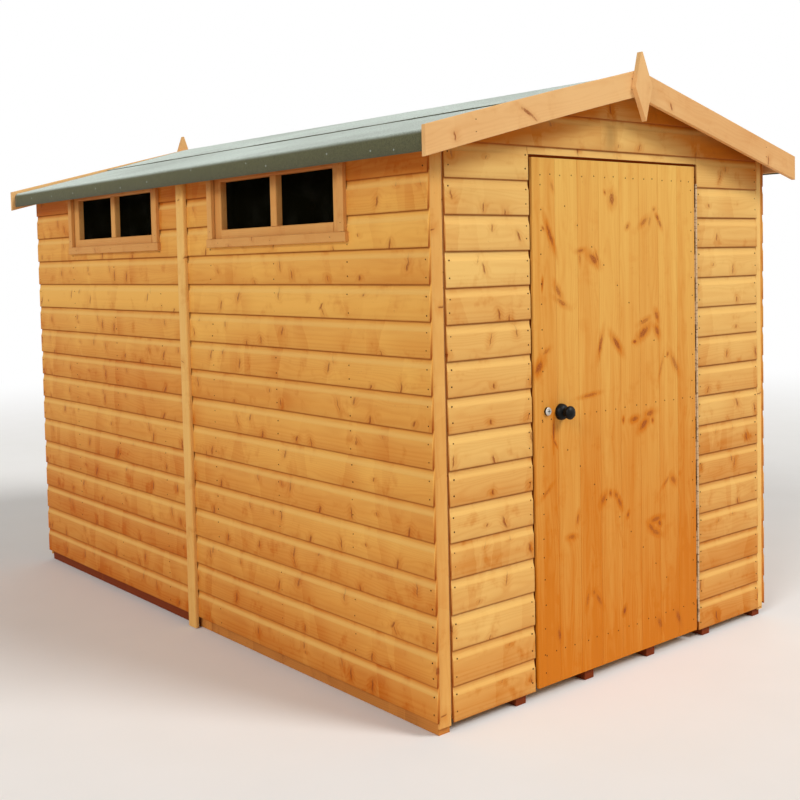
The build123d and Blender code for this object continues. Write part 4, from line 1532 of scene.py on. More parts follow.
@dataclass(frozen=True)
class Roof:
    """Roof boards on both slopes and the three sheets of felt over them."""

    boards: int = 9
    eaves_radius: float = 0.016
    ridge_radius: float = 0.02
    sheet: float = 0.003
    seat: float = 0.3 * MM
    drop_bottom: float = 1.8243
    lower_top: float = 0.12
    ridge_reach: float = 0.5
    rows: int = 131
    arris: float = 0.8 * MM
    last_arris: float = 0.3 * MM
    ripples: tuple[float, ...] = (1.1, 0.52, 0.31, 0.17)
    ripple_slant: float = 5.0
    ripple_gain: float = 0.8
    thinner: float = 0.2 * MM
    slope_lift: float = 0.5 * MM
    drop_lift: float = 1.6 * MM
    drop_from: float = 0.02
    ridge_lift: Pair = (0.3 * MM, 0.7 * MM)
    ridge_power: int = 12
    seen_nails: tuple[Pair, ...] = (
        (-0.211, 1.873),
        (-0.603, 1.8675),
        (-0.7305, 1.8476),
        (-1.0886, 1.8576),
        (-1.3144, 1.8466),
        (-1.4269, 1.8399),
    )
    nail_rows: tuple[Size, ...] = ((0.15, 1.5, 0.24), (-1.5, 1.51, 0.25))
    ridge_nail_row: Size = (-1.53, 1.54, 0.153)
    nail_band: Pair = (1.838, 1.862)
    nail_proud: Pair = (1.2 * MM, 0.6 * MM)
    ridge_nail_inset: float = 0.022

    def deck(self, finish: Finish) -> None:
        """Boards the slopes; the outermost board of each is rounded over at the eaves.

        Args:
            finish: the boards' material.
        """
        width = SHED.eaves / self.boards
        for side in Side:
            pile = Pile("roof_boards_" + side.name.lower(), 101 + side.value)
            for step in range(self.boards):
                x = side.value * width * np.array([step, step + 1, step + 1, step])
                outline = np.stack((x, np.concatenate((SHED.under_roof(x[:2]), SHED.deck_top(x[2:])))), 1)
                last = self.eaves_radius if step == self.boards - 1 else self.arris
                radii = (self.arris, self.arris, last, self.last_arris)
                pile.timber(eased(outline, radii), -SHED.roof_half, SHED.roof_half)
            pile.piece(finish, "deck_timber", "roof_deck_" + side.name.lower())

    def path(self, corners: list, radius: float, spacing: float = 0.02) -> Array:
        """Points along a bent line, close together, its inner corner rounded.

        Formula: each straight part is divided evenly; the bend is an arc tangent to both parts.

        Args:
            corners: start, corner and end, as (x, z).
            radius: the bend's radius.
            spacing: distance between points of the straight parts.

        Returns:
            The points as an array.
        """
        start, bend, end = (np.array(corner, float) for corner in corners)
        a, b = (start - bend) / np.linalg.norm(start - bend), (end - bend) / np.linalg.norm(end - bend)
        half = math.acos(float(a @ b)) / 2
        trim = radius / math.tan(half)
        centre = bend + (a + b) / np.linalg.norm(a + b) * radius / math.sin(half)
        first, last = bend + a * trim - centre, bend + b * trim - centre
        sweep = math.pi - 2 * half
        share = np.linspace(0, 1, 9)[:, None]
        arc = centre + (first * np.sin((1 - share) * sweep) + last * np.sin(share * sweep)) / math.sin(sweep)
        runs = []
        for low, high in ((start, arc[0]), (arc[-1], end)):
            count = max(2, int(np.linalg.norm(high - low) / spacing))
            runs.append(low + (high - low) * np.linspace(0, 1, count)[:, None])
        return np.concatenate((runs[0][:-1], arc, runs[1][1:]))

    def felt(self, name: str, line: Array, lift: Array, seed: int, finish: Finish, node: str) -> None:
        """Lays one sheet of felt along the roof, with soft ripples between its nails.

        Formula: point (i, j) is path point j at the y of row i, moved out square to the path by
        the lift at j times a sum of slow sines of y and of the distance down the sheet.

        Args:
            name: the piece's name.
            line: the path of the sheet's underside, as (x, z).
            lift: how far each path point may rise.
            seed: seed of the ripples.
            finish: the felt's material.
            node: the CAD node that it replaces.
        """
        pick = np.random.default_rng(seed)
        y = np.linspace(-SHED.roof_half, SHED.roof_half, self.rows)[:, None]
        tangent = np.gradient(line, axis=0)
        normal = np.stack((-tangent[:, 1], tangent[:, 0]), 1) / np.linalg.norm(tangent, axis=1)[:, None]
        run = np.concatenate(([0], np.cumsum(np.linalg.norm(np.diff(line, axis=0), axis=1))))
        wave = np.zeros((self.rows, len(line)))
        for length in self.ripples:
            shift = pick.uniform(0, 2 * math.pi, 2)
            wave += math.sqrt(length) * np.sin(2 * math.pi * y / length + shift[0] + self.ripple_slant * run + shift[1])
        wave = 0.5 + 0.5 * np.tanh(self.ripple_gain * wave)
        flat = line + normal * (lift * wave)[..., None]
        points = SHED.settled(np.stack((flat[..., 0], y + 0 * flat[..., 0], flat[..., 1]), -1).reshape(-1, 3))
        count = len(line)
        index = np.arange(self.rows * count).reshape(self.rows, count)
        quads = np.stack((index[:-1, :-1], index[:-1, 1:], index[1:, 1:], index[1:, :-1]), -1).reshape(-1, 4)
        made = surface(name, points, quads.tolist(), finish, 60)
        thick = made.modifiers.new("felt_thickness", "SOLIDIFY")
        thick.thickness, thick.offset = self.sheet - self.thinner, 1.0
        place(made, "shed", "roof_felt", node)

    def build(self, boarding: Finish, felt: Finish, clouts: Finish) -> None:
        """Boards the roof, lays the felt and nails it down.

        Args:
            boarding: the boards' material.
            felt: the felt's material.
            clouts: the felt nails' material.
        """
        self.deck(boarding)
        up = SHED.upright
        for side in Side:
            word, edge = side.name.lower(), SHED.eaves + self.seat
            slope_top, corner = ((x, SHED.deck_top(x) + self.seat * up) for x in (self.lower_top, edge))
            line = self.path([slope_top, corner, (edge, self.drop_bottom)], self.eaves_radius + self.seat)
            depth = np.linspace(0, 1, len(line))
            lift = np.where(line[:, 0] < edge - self.drop_from, self.slope_lift * (1 + depth), self.drop_lift)
            if side is Side.LEFT:
                line, lift = (line * (-1, 1))[::-1], lift[::-1]
            self.felt("felt_sheet_" + word, line, lift, 111 + side.value, felt, "felt_" + word)
        reach, offset = self.ridge_reach / up, 2 * self.seat + self.sheet
        ends = [(sign * reach, SHED.deck_top(reach) + offset * up) for sign in (-1, 1)]
        peak = (0.0, SHED.deck_top(0.0) + offset * up)
        line = self.path([ends[0], peak, ends[1]], self.ridge_radius)
        outward = np.clip(np.abs(line[:, 0]) / reach, 0, 1)
        lift = self.ridge_lift[0] + self.ridge_lift[1] * outward**self.ridge_power
        self.felt("felt_sheet_ridge", line, lift, 115, felt, "felt_ridge")
        self.nail(clouts)

    def nail(self, clouts: Finish) -> None:
        """Flat-headed nails in the turned-down edge and along the lower edges of the ridge sheet.

        Args:
            clouts: the nails' material.
        """
        pick = np.random.default_rng(121)
        rows = [np.arange(*row) for row in self.nail_rows]
        rest, other = (np.stack((y, pick.uniform(*self.nail_band, len(y))), 1) for y in rows)
        face = SHED.eaves + self.seat + self.sheet + self.nail_proud[0]
        for side, spots in ((Side.LEFT, np.concatenate((self.seen_nails, rest))), (Side.RIGHT, other)):
            points = np.insert(spots, 0, side.value * face, 1)
            CLOUTS.drive("felt_nails_" + side.name.lower(), points, (side.value, 0, 0), clouts)
        x = self.ridge_reach / SHED.upright - self.ridge_nail_inset
        y = np.arange(*self.ridge_nail_row)
        height = SHED.deck_top(x) + (3 * self.seat + 2 * self.sheet + self.nail_proud[1]) * SHED.upright
        for side in Side:
            points = np.stack((0 * y + side.value * x, y, 0 * y + height), 1)
            CLOUTS.drive("ridge_felt_nails_" + side.name.lower(), points, down_slope(side, 0.0).across, clouts)


@dataclass(frozen=True)
class Bargeboards:
    """Boards along the verges and the kite-shaped finials where they meet."""

    width: float = 0.091
    thickness: float = 0.016
    rise: float = 0.01
    reach: float = 1.01
    finial_centre: float = 2.099
    finial_half: Pair = (0.047, 0.12)
    finial_tip: float = 0.004
    finial_thickness: float = 0.018
    front_lean: float = 5.0
    front_offset: float = 0.004
    back_drop: float = 0.009
    back_reach: float = 1.02
    back_lift: float = 0.007
    nails_across: Pair = (0.04, 0.8)
    nail_drops: Pair = (0.026, 0.064)
    board_tone: float = 0.1
    finial_tone: float = -0.1

    def build(self, finish: Finish, nails: Finish) -> None:
        """Fixes the bargeboards, the finials and their nails.

        They have settled with the ridge; the board at the front left is held at its lower end.
        The back pair is fixed a little lower and its finial a little higher.

        Args:
            finish: the boards' and finials' material.
            nails: the nails' material.
        """
        for end in End:
            shift = SHED.settle * end.value * SHED.roof_half
            self.pair(end, shift, finish, nails)
            self.finial(end, shift, finish)

    def pair(self, end: End, shift: float, finish: Finish, nails: Finish) -> None:
        """Fixes the two bargeboards of one end with their nails.

        Args:
            end: the end of the shed.
            shift: how far the ridge has risen there.
            finish: the boards' material.
            nails: the nails' material.
        """
        front, word, face = end is End.FRONT, end.name.lower(), SHED.roof_half + self.thickness
        boards = Pile(word + "_bargeboard_pair", 131 + end.value, settle=False)
        reach, drop = (self.reach, 0.0) if front else (self.back_reach, self.back_drop)
        spots = []
        for side in Side:
            held = front and side is Side.LEFT
            peak = SHED.ridge + self.rise + (0.0 if held else shift) - drop
            slope = down_slope(side, peak)
            outline = eased(rect((-self.width, 0.0), beyond(end, SHED.roof_half, face)))
            ends = [cut_at(slope, outline, 0, side.value * x) for x in (SHED.panel_joint, reach)]
            boards.timber(outline, *ends, slope, tone=self.board_tone * side.value)
            x, down = (part.ravel() for part in np.meshgrid(self.nails_across, self.nail_drops, indexing="ij"))
            fixed = np.stack((side.value * x, 0 * x + end.value * face, peak - SHED.slope * x - down), 1)
            if held:
                boards.points[-1], fixed = SHED.settled(boards.points[-1]), SHED.settled(fixed)
            spots.append(fixed)
        boards.piece(finish, "trim_timber", word + "_bargeboards")
        heads = np.concatenate(spots)
        VERGE_NAILS.drive(word + "_bargeboard_nails", heads, (0, end.value, 0), nails, settle=False)

    def finial(self, end: End, shift: float, finish: Finish) -> None:
        """Fixes the finial of one end, a kite with a blunt upper tip, which leans at the front.

        Args:
            end: the end of the shed.
            shift: how far the ridge has risen there.
            finish: the finial's material.
        """
        (wide, tall), tip = self.finial_half, self.finial_tip
        kite = np.array([(-tip, tall), (tip, tall), (wide, 0), (0, -tall), (-wide, 0)])
        lean, offset, lift = 0.0, 0.0, self.back_lift
        if end is End.FRONT:
            lean, offset, lift = self.front_lean, self.front_offset, 0.0
        turn = math.radians(lean)
        spin = np.array([(math.cos(turn), math.sin(turn)), (-math.sin(turn), math.cos(turn))])
        kite = eased(kite) @ spin + (offset, self.finial_centre + shift + lift)
        board = Pile(end.name.lower() + "_finial_board", 135 + end.value, settle=False)
        face = SHED.roof_half + self.thickness
        span = beyond(end, face, face + self.finial_thickness)
        board.timber(kite, *span, tone=self.finial_tone, fibre=2, wave=0.0, step=0.02)
        board.piece(finish, "trim_timber", end.name.lower() + "_finial")


# ---------------------------------------------------------------- windows


@dataclass(frozen=True)
class Windows:
    """Two fixed windows of two panes each, with trims nailed round them."""

    pane_width: float = 0.34
    mullion: float = 0.038
    sill: float = 0.043
    head: float = 0.036
    recess: float = 0.002
    setback: float = 0.027
    rebate: float = 0.006
    trim: Pair = (0.033, 0.016)
    lap: float = 0.008
    ear: float = 0.008
    bar_arris: float = 3.5 * MM
    rail_arris: float = 4.5 * MM
    inner_arris: float = 1 * MM
    rebate_arris: float = 0.3 * MM
    trim_arris: float = 2.5 * MM
    trim_joint: float = MM
    nail_margin: float = 0.03
    sill_nails: tuple[float, ...] = (-0.36, 0.0, 0.36)
    bar_tones: Size = (0.1, 0.0, 0.05)
    rail_tones: Pair = (0.0, 0.1)

    @property
    def depths(self) -> tuple:
        """The x of a frame's outer face, of the glass's seat and of the frame's inner face."""
        outer = -SHED.half_width + self.recess
        return outer, outer + self.setback, -SHED.half_width + SHED.frame_inner

    def upright(self, pile: Pile, y: Pair, heights: Pair, rebates: tuple[bool, bool], tone: float) -> None:
        """Side or middle bar of a frame, rebated behind for the glass on the edges that meet it.

        Args:
            pile: the frame's timbers.
            y: where the bar starts and ends along the wall.
            heights: its lowest and highest height.
            rebates: whether each edge meets the glass.
            tone: its depth of colour.
        """
        outer, seat, inner = self.depths
        low, high = (self.rebate if flag else 0.0 for flag in rebates)
        outline = [(outer, y[0]), (outer, y[1]), (seat, y[1]), (seat, y[1] - high), (inner, y[1] - high)]
        outline += [(inner, y[0] + low), (seat, y[0] + low), (seat, y[0])]
        front, deep, back = self.bar_arris, self.rebate_arris, self.inner_arris
        radii = (front, front, deep, deep, back, back, deep, deep)
        pile.timber(eased(outline, radii), *heights, ALONG_Z, tone=tone, wave=0.0)

    def level(self, pile: Pile, z: Pair, y: Pair, over: bool, tone: float) -> None:
        """Sill or head of a frame, rebated behind for the glass.

        Args:
            pile: the frame's timbers.
            z: the rail's lowest and highest height.
            y: where it starts and ends along the wall.
            over: whether it is the head.
            tone: its depth of colour.
        """
        outer, seat, inner = self.depths
        edge, far = z if over else z[::-1]
        cut = edge + (self.rebate if over else -self.rebate)
        outline = [(outer, far), (outer, edge), (seat, edge), (seat, cut), (inner, cut), (inner, far)]
        deep, back = self.rebate_arris, self.inner_arris
        radii = (CRISP, self.rail_arris, deep, deep, back, back)
        pile.timber(eased(outline, radii), *y, tone=tone, wave=0.0)

    def build(self, finish: Finish, trimming: Finish, nails: Finish) -> None:
        """Builds the frames, their trims and nails.

        Args:
            finish: the frames' material.
            trimming: the trims' material.
            nails: the nails' material.
        """
        trims = Pile("window_trim_boards", 145)
        spots = []
        pane_bottom, pane_top = SHED.window_bottom + self.sill, SHED.window_top - self.head
        for word, centre, seed in zip(("front", "back"), SHED.windows, (141, 142)):
            pile = Pile("window_joinery_" + word, seed)
            left, right = centre - SHED.window_half, centre + SHED.window_half
            inner = self.mullion / 2 + self.pane_width
            whole, clear = (SHED.window_bottom, SHED.window_top), (pane_bottom, pane_top)
            bars = (
                ((left, centre - inner), whole, (False, True)),
                ((centre + inner, right), whole, (True, False)),
                (around(centre, self.mullion), clear, (True, True)),
            )
            for bar, tone in zip(bars, self.bar_tones):
                self.upright(pile, *bar, tone)
            rails = (((SHED.window_bottom, pane_bottom), False), ((pane_top, SHED.window_top), True))
            for (z, over), tone in zip(rails, self.rail_tones):
                self.level(pile, z, (centre - inner, centre + inner), over, tone)
            pile.piece(finish, "window_timber", "window_frame_" + word)
            faces = (-SHED.half_width - self.trim[1], -SHED.half_width)
            near = SHED.window_half - self.lap
            far = near + self.trim[0]
            sill_top = SHED.window_bottom + self.lap
            ends = (centre - far - self.ear, centre + far + self.ear)
            radii = (self.trim_arris, CRISP, CRISP, self.trim_arris)
            trims.timber(eased(rect(faces, (sill_top - self.trim[0], sill_top)), radii), *ends)
            heights = (sill_top + self.nail_margin, SHED.window_top - self.nail_margin)
            for sign in (-1, 1):
                span = tuple(sorted((centre + sign * near, centre + sign * far)))
                outline = eased(rect(faces, span), radii)
                trims.timber(outline, sill_top + self.trim_joint, SHED.under_roof(outline[:, 0]), ALONG_Z)
                spots += [(faces[0], centre + sign * (near + far) / 2, z) for z in heights]
            spots += [(faces[0], centre + shift, sill_top - self.trim[0] / 2) for shift in self.sill_nails]
        trims.piece(trimming, "trim_timber", "window_trims")
        TRIM_NAILS.drive("window_trim_nails", np.array(spots), (-1, 0, 0), nails)


def dress(node: str, finish: Finish) -> None:
    """Puts a finish on a CAD node whose shape stays.

    Args:
        node: the CAD node.
        finish: its material.
    """
    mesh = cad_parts[node].data
    mesh.materials.clear()
    mesh.materials.append(finish)
    log.info("%s: CAD shape kept", node)


# ---------------------------------------------------------------- door


@dataclass(frozen=True)
class Door:
    """Boarded door with ledges and braces behind, a long hinge, a knob and a lock.

    The rose holds its radius, the height of its edge and of its neck; the head its radius, half
    its depth and how far its middle stands from the door. Nail rows are (height, fall outwards),
    brace lines the heights where a line of nails crosses the door's middle.
    """

    thickness: float = 0.012
    boards: int = 8
    groove: float = 1.6 * MM
    ledges: tuple[float, ...] = (0.15, 0.966, 1.765)
    ledge: Pair = (0.095, 0.022)
    ledge_gap: float = 0.02
    brace: float = 0.095
    brace_inset: float = 0.06
    knob: Pair = (-0.333, 0.975)
    lock: Pair = (-0.402, 0.983)
    neck: float = 0.015
    rose: Size = (0.0285, 0.004, 0.022)
    head: Size = (0.0235, 0.014, 0.042)
    rim: float = 0.0085
    bead: float = 0.6 * MM
    tip: float = 1e-4
    tip_turn: float = 0.02
    tones: tuple[float, ...] = (0.06, -0.02, 0.06, -0.04, 0.0, 0.0, 0.02, 0.1)
    tone_spread: float = 0.03
    ledge_arris: float = 2.5 * MM
    brace_arris: float = 2 * MM
    nail_pair: Pair = (0.032, 0.082)
    nail_rows: tuple[Pair, ...] = ((1.7805, 0.004), (0.956, 0.0), (0.15, 0.0))
    row_stray: Pair = (3 * MM, 9 * MM)
    brace_lines: Pair = (1.376, 0.54)
    brace_reach: tuple[float, float, int] = (-0.3, 0.25, 9)
    brace_stray: float = 8 * MM
    edge_lines: Pair = (-0.422, 0.424)
    edge_heights: Size = (0.08, 1.8, 0.079)
    edge_stray: Pair = (14 * MM, 4 * MM)
    knob_room: float = 0.05
    lock_room: float = 0.03

    def leaf(self, finish: Finish, framing: Finish, nails: Finish) -> None:
        """Boards, ledges and braces of the door, with the nails through them.

        Args:
            finish: the boards' material.
            framing: the ledges' and braces' material.
            nails: the nails' material.
        """
        pile = Pile("door_board_set", 151)
        step = (SHED.door[1] - SHED.door[0]) / self.boards
        back = SHED.door_front + self.thickness
        for index, tone in enumerate(self.tones):
            span = (SHED.door[0] + index * step, SHED.door[0] + (index + 1) * step)
            outline = eased(rect(span, (SHED.door_front, back)), (self.groove, self.groove, CRISP, CRISP))
            pile.timber(outline, *SHED.door_heights, ALONG_Z, draw=pile.draw(tone, self.tone_spread), wave=0.0)
        pile.piece(finish, "door_timber", "door_boards", body="door")
        ledges, braces = Pile("door_ledge_timbers", 152), Pile("door_brace_timbers", 153)
        across = (SHED.door[0] + self.ledge_gap, SHED.door[1] - self.ledge_gap)
        depth = (back, back + self.ledge[1])
        for height in self.ledges:
            ledges.beam(across, depth, around(height, self.ledge[0]), ALONG_X, radius=self.ledge_arris)
        for lower, upper in zip(self.ledges, self.ledges[1:]):
            foot, top = lower + self.ledge[0] / 2, upper - self.ledge[0] / 2
            low_x, high_x = across[1] - self.brace_inset, across[0] + self.brace_inset
            rise, fall = top - foot, low_x - high_x - self.brace
            cut = self.brace * math.hypot(fall, rise) / rise
            way = np.array([-(low_x - high_x - cut), rise])
            long = float(np.linalg.norm(way))
            along = way / long
            run = Run((along[0], 0, along[1]), (along[1], 0, -along[0]), (0, 1, 0), (low_x - cut / 2, 0, foot))
            wide = cut * along[1]
            outline = eased(rect(around(0.0, wide), depth), self.brace_arris)
            braces.timber(outline, *[cut_at(run, outline, 2, z) for z in (foot, top)], run)
        ledges.piece(framing, "framing_timber", "door_ledges", body="door")
        braces.piece(framing, "framing_timber", "door_braces", body="door")
        self.nail(nails)

    def nail(self, nails: Finish) -> None:
        """Nails of the boards into the ledges, the braces and the edges of the door.

        Args:
            nails: the nails' material.
        """
        pick = np.random.default_rng(155)

        def stray(reach: float, count: int) -> Array:
            """How far each of some nails strays either way."""
            return pick.uniform(-reach, reach, count)

        step = (SHED.door[1] - SHED.door[0]) / self.boards
        joints = SHED.door[0] + step * np.arange(self.boards)
        pairs = np.sort(np.concatenate([joints + shift for shift in self.nail_pair]))
        rows = []
        for height, fall in self.nail_rows:
            z = height - fall * np.abs(pairs) + stray(self.row_stray[0], len(pairs))
            rows.append(np.stack((pairs + stray(self.row_stray[1], len(pairs)), z), 1))
        drop = np.linspace(*self.brace_reach) + stray(self.brace_stray, self.brace_reach[2])
        rows += [np.stack((drop, height - drop), 1) for height in self.brace_lines]
        heights = np.arange(*self.edge_heights)
        heights += stray(self.edge_stray[0], len(heights))
        for x, z in zip(self.edge_lines, (heights, heights[::-1])):
            rows.append(np.stack((x + stray(self.edge_stray[1], len(z)), z), 1))
        flat = np.concatenate(rows)
        for centre, room in ((self.knob, self.knob_room), (self.lock, self.lock_room)):
            flat = flat[np.hypot(*(flat - centre).T) > room]
        BOARD_NAILS.drive("door_nails", np.insert(flat, 1, SHED.door_front, 1), (0, -1, 0), nails, body="door")

    def fittings(self, black: Finish, steel: Finish, bright: Finish) -> None:
        """Turns the knob and finishes the hinge and the lock.

        Formula: the rose swells in an arc from its upright edge to the neck. The head is an arc
        at the rim between two wider ones, which meet it smoothly where all three share a radius
        line.

        Args:
            black: the knob's material.
            steel: the hinge's material.
            bright: the lock's material.
        """
        wide, edge, deep = self.rose
        swell = ((wide - self.neck) ** 2 + (deep - edge) ** 2) / (2 * (wide - self.neck))
        turn = np.linspace(0, math.asin((deep - edge) / swell), 12)
        rose = np.stack((wide - swell + swell * np.cos(turn), edge + swell * np.sin(turn)), 1)
        radius, half, reach = self.head
        side, spare = radius - self.rim, half - self.rim
        drop = (side**2 - spare**2) / (2 * spare)
        crown, lean = half + drop, math.atan2(side, drop)
        under = np.linspace(math.asin(self.neck / crown), lean, 9)
        rim = np.linspace(lean - math.pi / 2, math.pi / 2 - lean, 9)[1:-1]
        over = np.linspace(lean, self.tip_turn, 12)
        head = [
            np.stack((crown * np.sin(under), reach - crown * np.cos(under) + drop), 1),
            np.stack((side + self.rim * np.cos(rim), reach + self.rim * np.sin(rim)), 1),
            np.stack((crown * np.sin(over), reach + crown * np.cos(over) - drop), 1),
        ]
        foot = np.array([(self.tip, 0.0), (wide - self.bead, 0.0), (wide, self.bead)])
        line = np.concatenate((foot, rose, *head, [(self.tip, reach + half)]))
        spot = (self.knob[0], SHED.door_front, self.knob[1])
        place(lathe("door_knob_turned", line, spot, black), "door", "black_knob", "door_knob")
        for node, finish in (("door_hinge_leaf", steel), ("frame_hinge_leaf", steel), ("door_lock", bright)):
            dress(node, finish)


# ---------------------------------------------------------------- floor, lights and camera


@dataclass(frozen=True)
class Lamp:
    """A soft, even light: its strength, the way to it and the angle that it fills, in radians."""

    name: str
    power: float
    way: tuple
    soft: float


@dataclass(frozen=True)
class Studio:
    """Pale floor, white surroundings, soft lights and the camera where the photograph was taken."""

    lens: float = 50.41
    shift: Pair = (0.046, -0.0947)
    sensor: float = 36.0
    sky: float = 0.31
    sky_tint: Colour = (1.0, 0.978, 0.95)
    white: Colour = (1.0, 1.0, 1.0)
    lamps: tuple = (
        Lamp("wall_light", 1.28, (-0.82, -0.25, 0.5), 0.4),
        Lamp("gable_light", 1.78, (0.35, -0.68, 0.68), 0.35),
        Lamp("fill_light", 0.15, (0.7, 0.6, 0.6), 0.6),
    )
    floor_shades: tuple[Colour, Colour] = (linear(238, 237, 234), linear(243, 242, 240))
    floor_fade: Pair = (5.0, 11.0)
    floor_mottle: float = 3.0
    floor_rough: float = 0.9
    floor_shine: float = 0.1
    floor_half: float = 60.0
    floor_drop: float = 0.5 * MM

    def camera(self) -> None:
        """Stands the camera at the photograph's place: X as row one, -Y as row two, -Z as row three."""
        data = bpy.data.cameras.new("camera")
        data.lens, data.sensor_width = self.lens, self.sensor
        data.shift_x, data.shift_y = self.shift
        made = bpy.data.objects.new("camera", data)
        right, down, ahead = np.round(SIGHT.rows, 6)
        turn = np.stack((right, -down, -ahead), 1)
        made.matrix_world = Matrix.Translation(SIGHT.eye) @ Matrix(turn.tolist()).to_4x4()
        bpy.context.scene.collection.objects.link(made)
        bpy.context.scene.camera = made

    def lights(self) -> None:
        """Hangs the lamps, each an even light from one way, and sets the sky."""
        for lamp in self.lamps:
            data = bpy.data.lights.new(lamp.name, "SUN")
            data.energy, data.angle = lamp.power, lamp.soft
            made = bpy.data.objects.new(lamp.name, data)
            back = np.array(lamp.way) / np.linalg.norm(lamp.way)
            side = np.cross((0, 0, 1), back)
            side /= np.linalg.norm(side)
            made.matrix_world = Matrix(np.stack((side, np.cross(back, side), back), 1).tolist()).to_4x4()
            bpy.context.scene.collection.objects.link(made)
        self.surroundings()

    def surroundings(self) -> None:
        """Lights the shed with an even sky, while the camera, mirrors and clear sheets see white."""
        world = bpy.data.worlds.new("surroundings")
        bpy.context.scene.world = world
        world.use_nodes = True
        nodes, links = world.node_tree.nodes, world.node_tree.links
        lit = nodes["Background"]
        lit.inputs["Color"].default_value = (*self.sky_tint, 1.0)
        lit.inputs["Strength"].default_value = self.sky
        white = nodes.new("ShaderNodeBackground")
        white.inputs["Color"].default_value = (*self.white, 1.0)
        white.inputs["Strength"].default_value = 1.0
        path = nodes.new("ShaderNodeLightPath")
        seen = path.outputs["Is Camera Ray"]
        for ray in ("Is Glossy Ray", "Is Transmission Ray"):
            most = nodes.new("ShaderNodeMath")
            most.operation = "MAXIMUM"
            links.new(seen, most.inputs[0])
            links.new(path.outputs[ray], most.inputs[1])
            seen = most.outputs[0]
        both = nodes.new("ShaderNodeMixShader")
        for source, target in ((seen, 0), (lit.outputs[0], 1), (white.outputs[0], 2)):
            links.new(source, both.inputs[target])
        links.new(both.outputs[0], nodes["World Output"].inputs[0])

    def floor(self) -> None:
        """A wide pale floor that fades to the white of the surroundings away from the shed."""
        pen = Sketch("pale_floor")
        spot = pen.own()
        far = pen.ease(pen.length(spot), *self.floor_fade)
        tint = pen.mix(pen.noise(spot, self.floor_mottle, 5.0), *self.floor_shades)
        pen.finish(tint, self.floor_rough, Specular_IOR_Level=self.floor_shine)
        glow = pen.node("Emission", {"Color": self.white, "Strength": 1.0})
        path = pen.node("LightPath", {})
        seen = pen.most(path.outputs["Is Camera Ray"], path.outputs["Is Glossy Ray"])
        seen = pen.most(seen, path.outputs["Is Transmission Ray"])
        both = pen.node("MixShader", {0: pen.times(far, seen), 1: pen.shader.outputs[0], 2: glow.outputs[0]})
        pen.links.new(both.outputs[0], pen.nodes["Material Output"].inputs[0])
        span = (-self.floor_half, self.floor_half)
        corners = np.insert(rect(span, span), 2, -self.floor_drop, 1)
        surface("studio_floor", corners, [[0, 1, 2, 3]], pen.material)

    def build(self) -> None:
        """Sets the view's colours, then makes the camera, lights and floor."""
        bpy.context.scene.view_settings.view_transform = "Standard"
        self.camera()
        self.lights()
        self.floor()


def read_marks(corner: Pair, strokes: tuple, zoom: float = 6.0) -> tuple:
    """Turns strokes read in an enlarged part of the photograph into marks on the door.

    Formula: a stroke's ends and a point one width beside its start are placed on the door's
    front. The mark's middle is halfway between the ends and its lean is their angle from
    upright, to whole millimetres and degrees.

    Args:
        corner: the pixel at the part's upper left.
        strokes: each stroke's start and end across and down the part, its width and its depth.
        zoom: how much the part was enlarged.

    Returns:
        The marks.
    """
    made = []
    for x, y, last_x, last_y, width, dark in strokes:
        start, end, beside = (
            SIGHT.on_door((corner[0] + across / zoom, corner[1] + down / zoom))
            for across, down in ((x, y), (last_x, last_y), (x + width, y))
        )
        across, up = end - start
        sizes = (*(start + end) / 2, math.hypot(across, up) / 2, abs(beside[0] - start[0]) / 2)
        lean = round(math.degrees(math.atan2(across, -up)))
        made.append(Mark(*(round(float(size) / 1000, 3) for size in sizes), lean, dark))
    return tuple(made)


UPPER_STROKES = (
    (125, 165, 140, 215, 14, 0.3), (445, 216, 452, 234, 9, 0.7), (490, 226, 490, 298, 28, 0.7),
    (700, 380, 665, 420, 16, 0.5), (720, 370, 714, 425, 12, 0.35), (755, 360, 772, 388, 12, 0.7),
    (770, 388, 786, 432, 13, 0.6), (740, 318, 744, 336, 12, 0.5), (590, 418, 575, 442, 12, 0.6),
    (70, 432, 85, 446, 10, 0.5), (100, 415, 140, 545, 18, 0.75), (285, 578, 322, 570, 14, 0.55),
    (298, 598, 300, 645, 12, 0.35), (358, 600, 402, 650, 24, 0.75), (395, 588, 410, 640, 9, 0.6),
    (74, 748, 73, 798, 7, 0.9), (155, 785, 185, 850, 18, 0.6), (165, 868, 218, 905, 16, 0.55),
    (710, 982, 665, 1010, 14, 0.5), (752, 940, 768, 988, 18, 0.6), (706, 1035, 657, 1092, 24, 0.75),
    (752, 1030, 772, 1076, 20, 0.65), (432, 1085, 414, 1190, 16, 0.7), (500, 1095, 540, 1165, 20, 0.8),
    (628, 1112, 629, 1128, 16, 0.9), (828, 1182, 824, 1204, 10, 0.6), (795, 1225, 775, 1330, 10, 0.35),
    (850, 1205, 886, 1292, 18, 0.5), (115, 1165, 80, 1195, 14, 0.4), (70, 1240, 38, 1308, 28, 0.75),
    (320, 1452, 400, 1430, 12, 0.5),
)
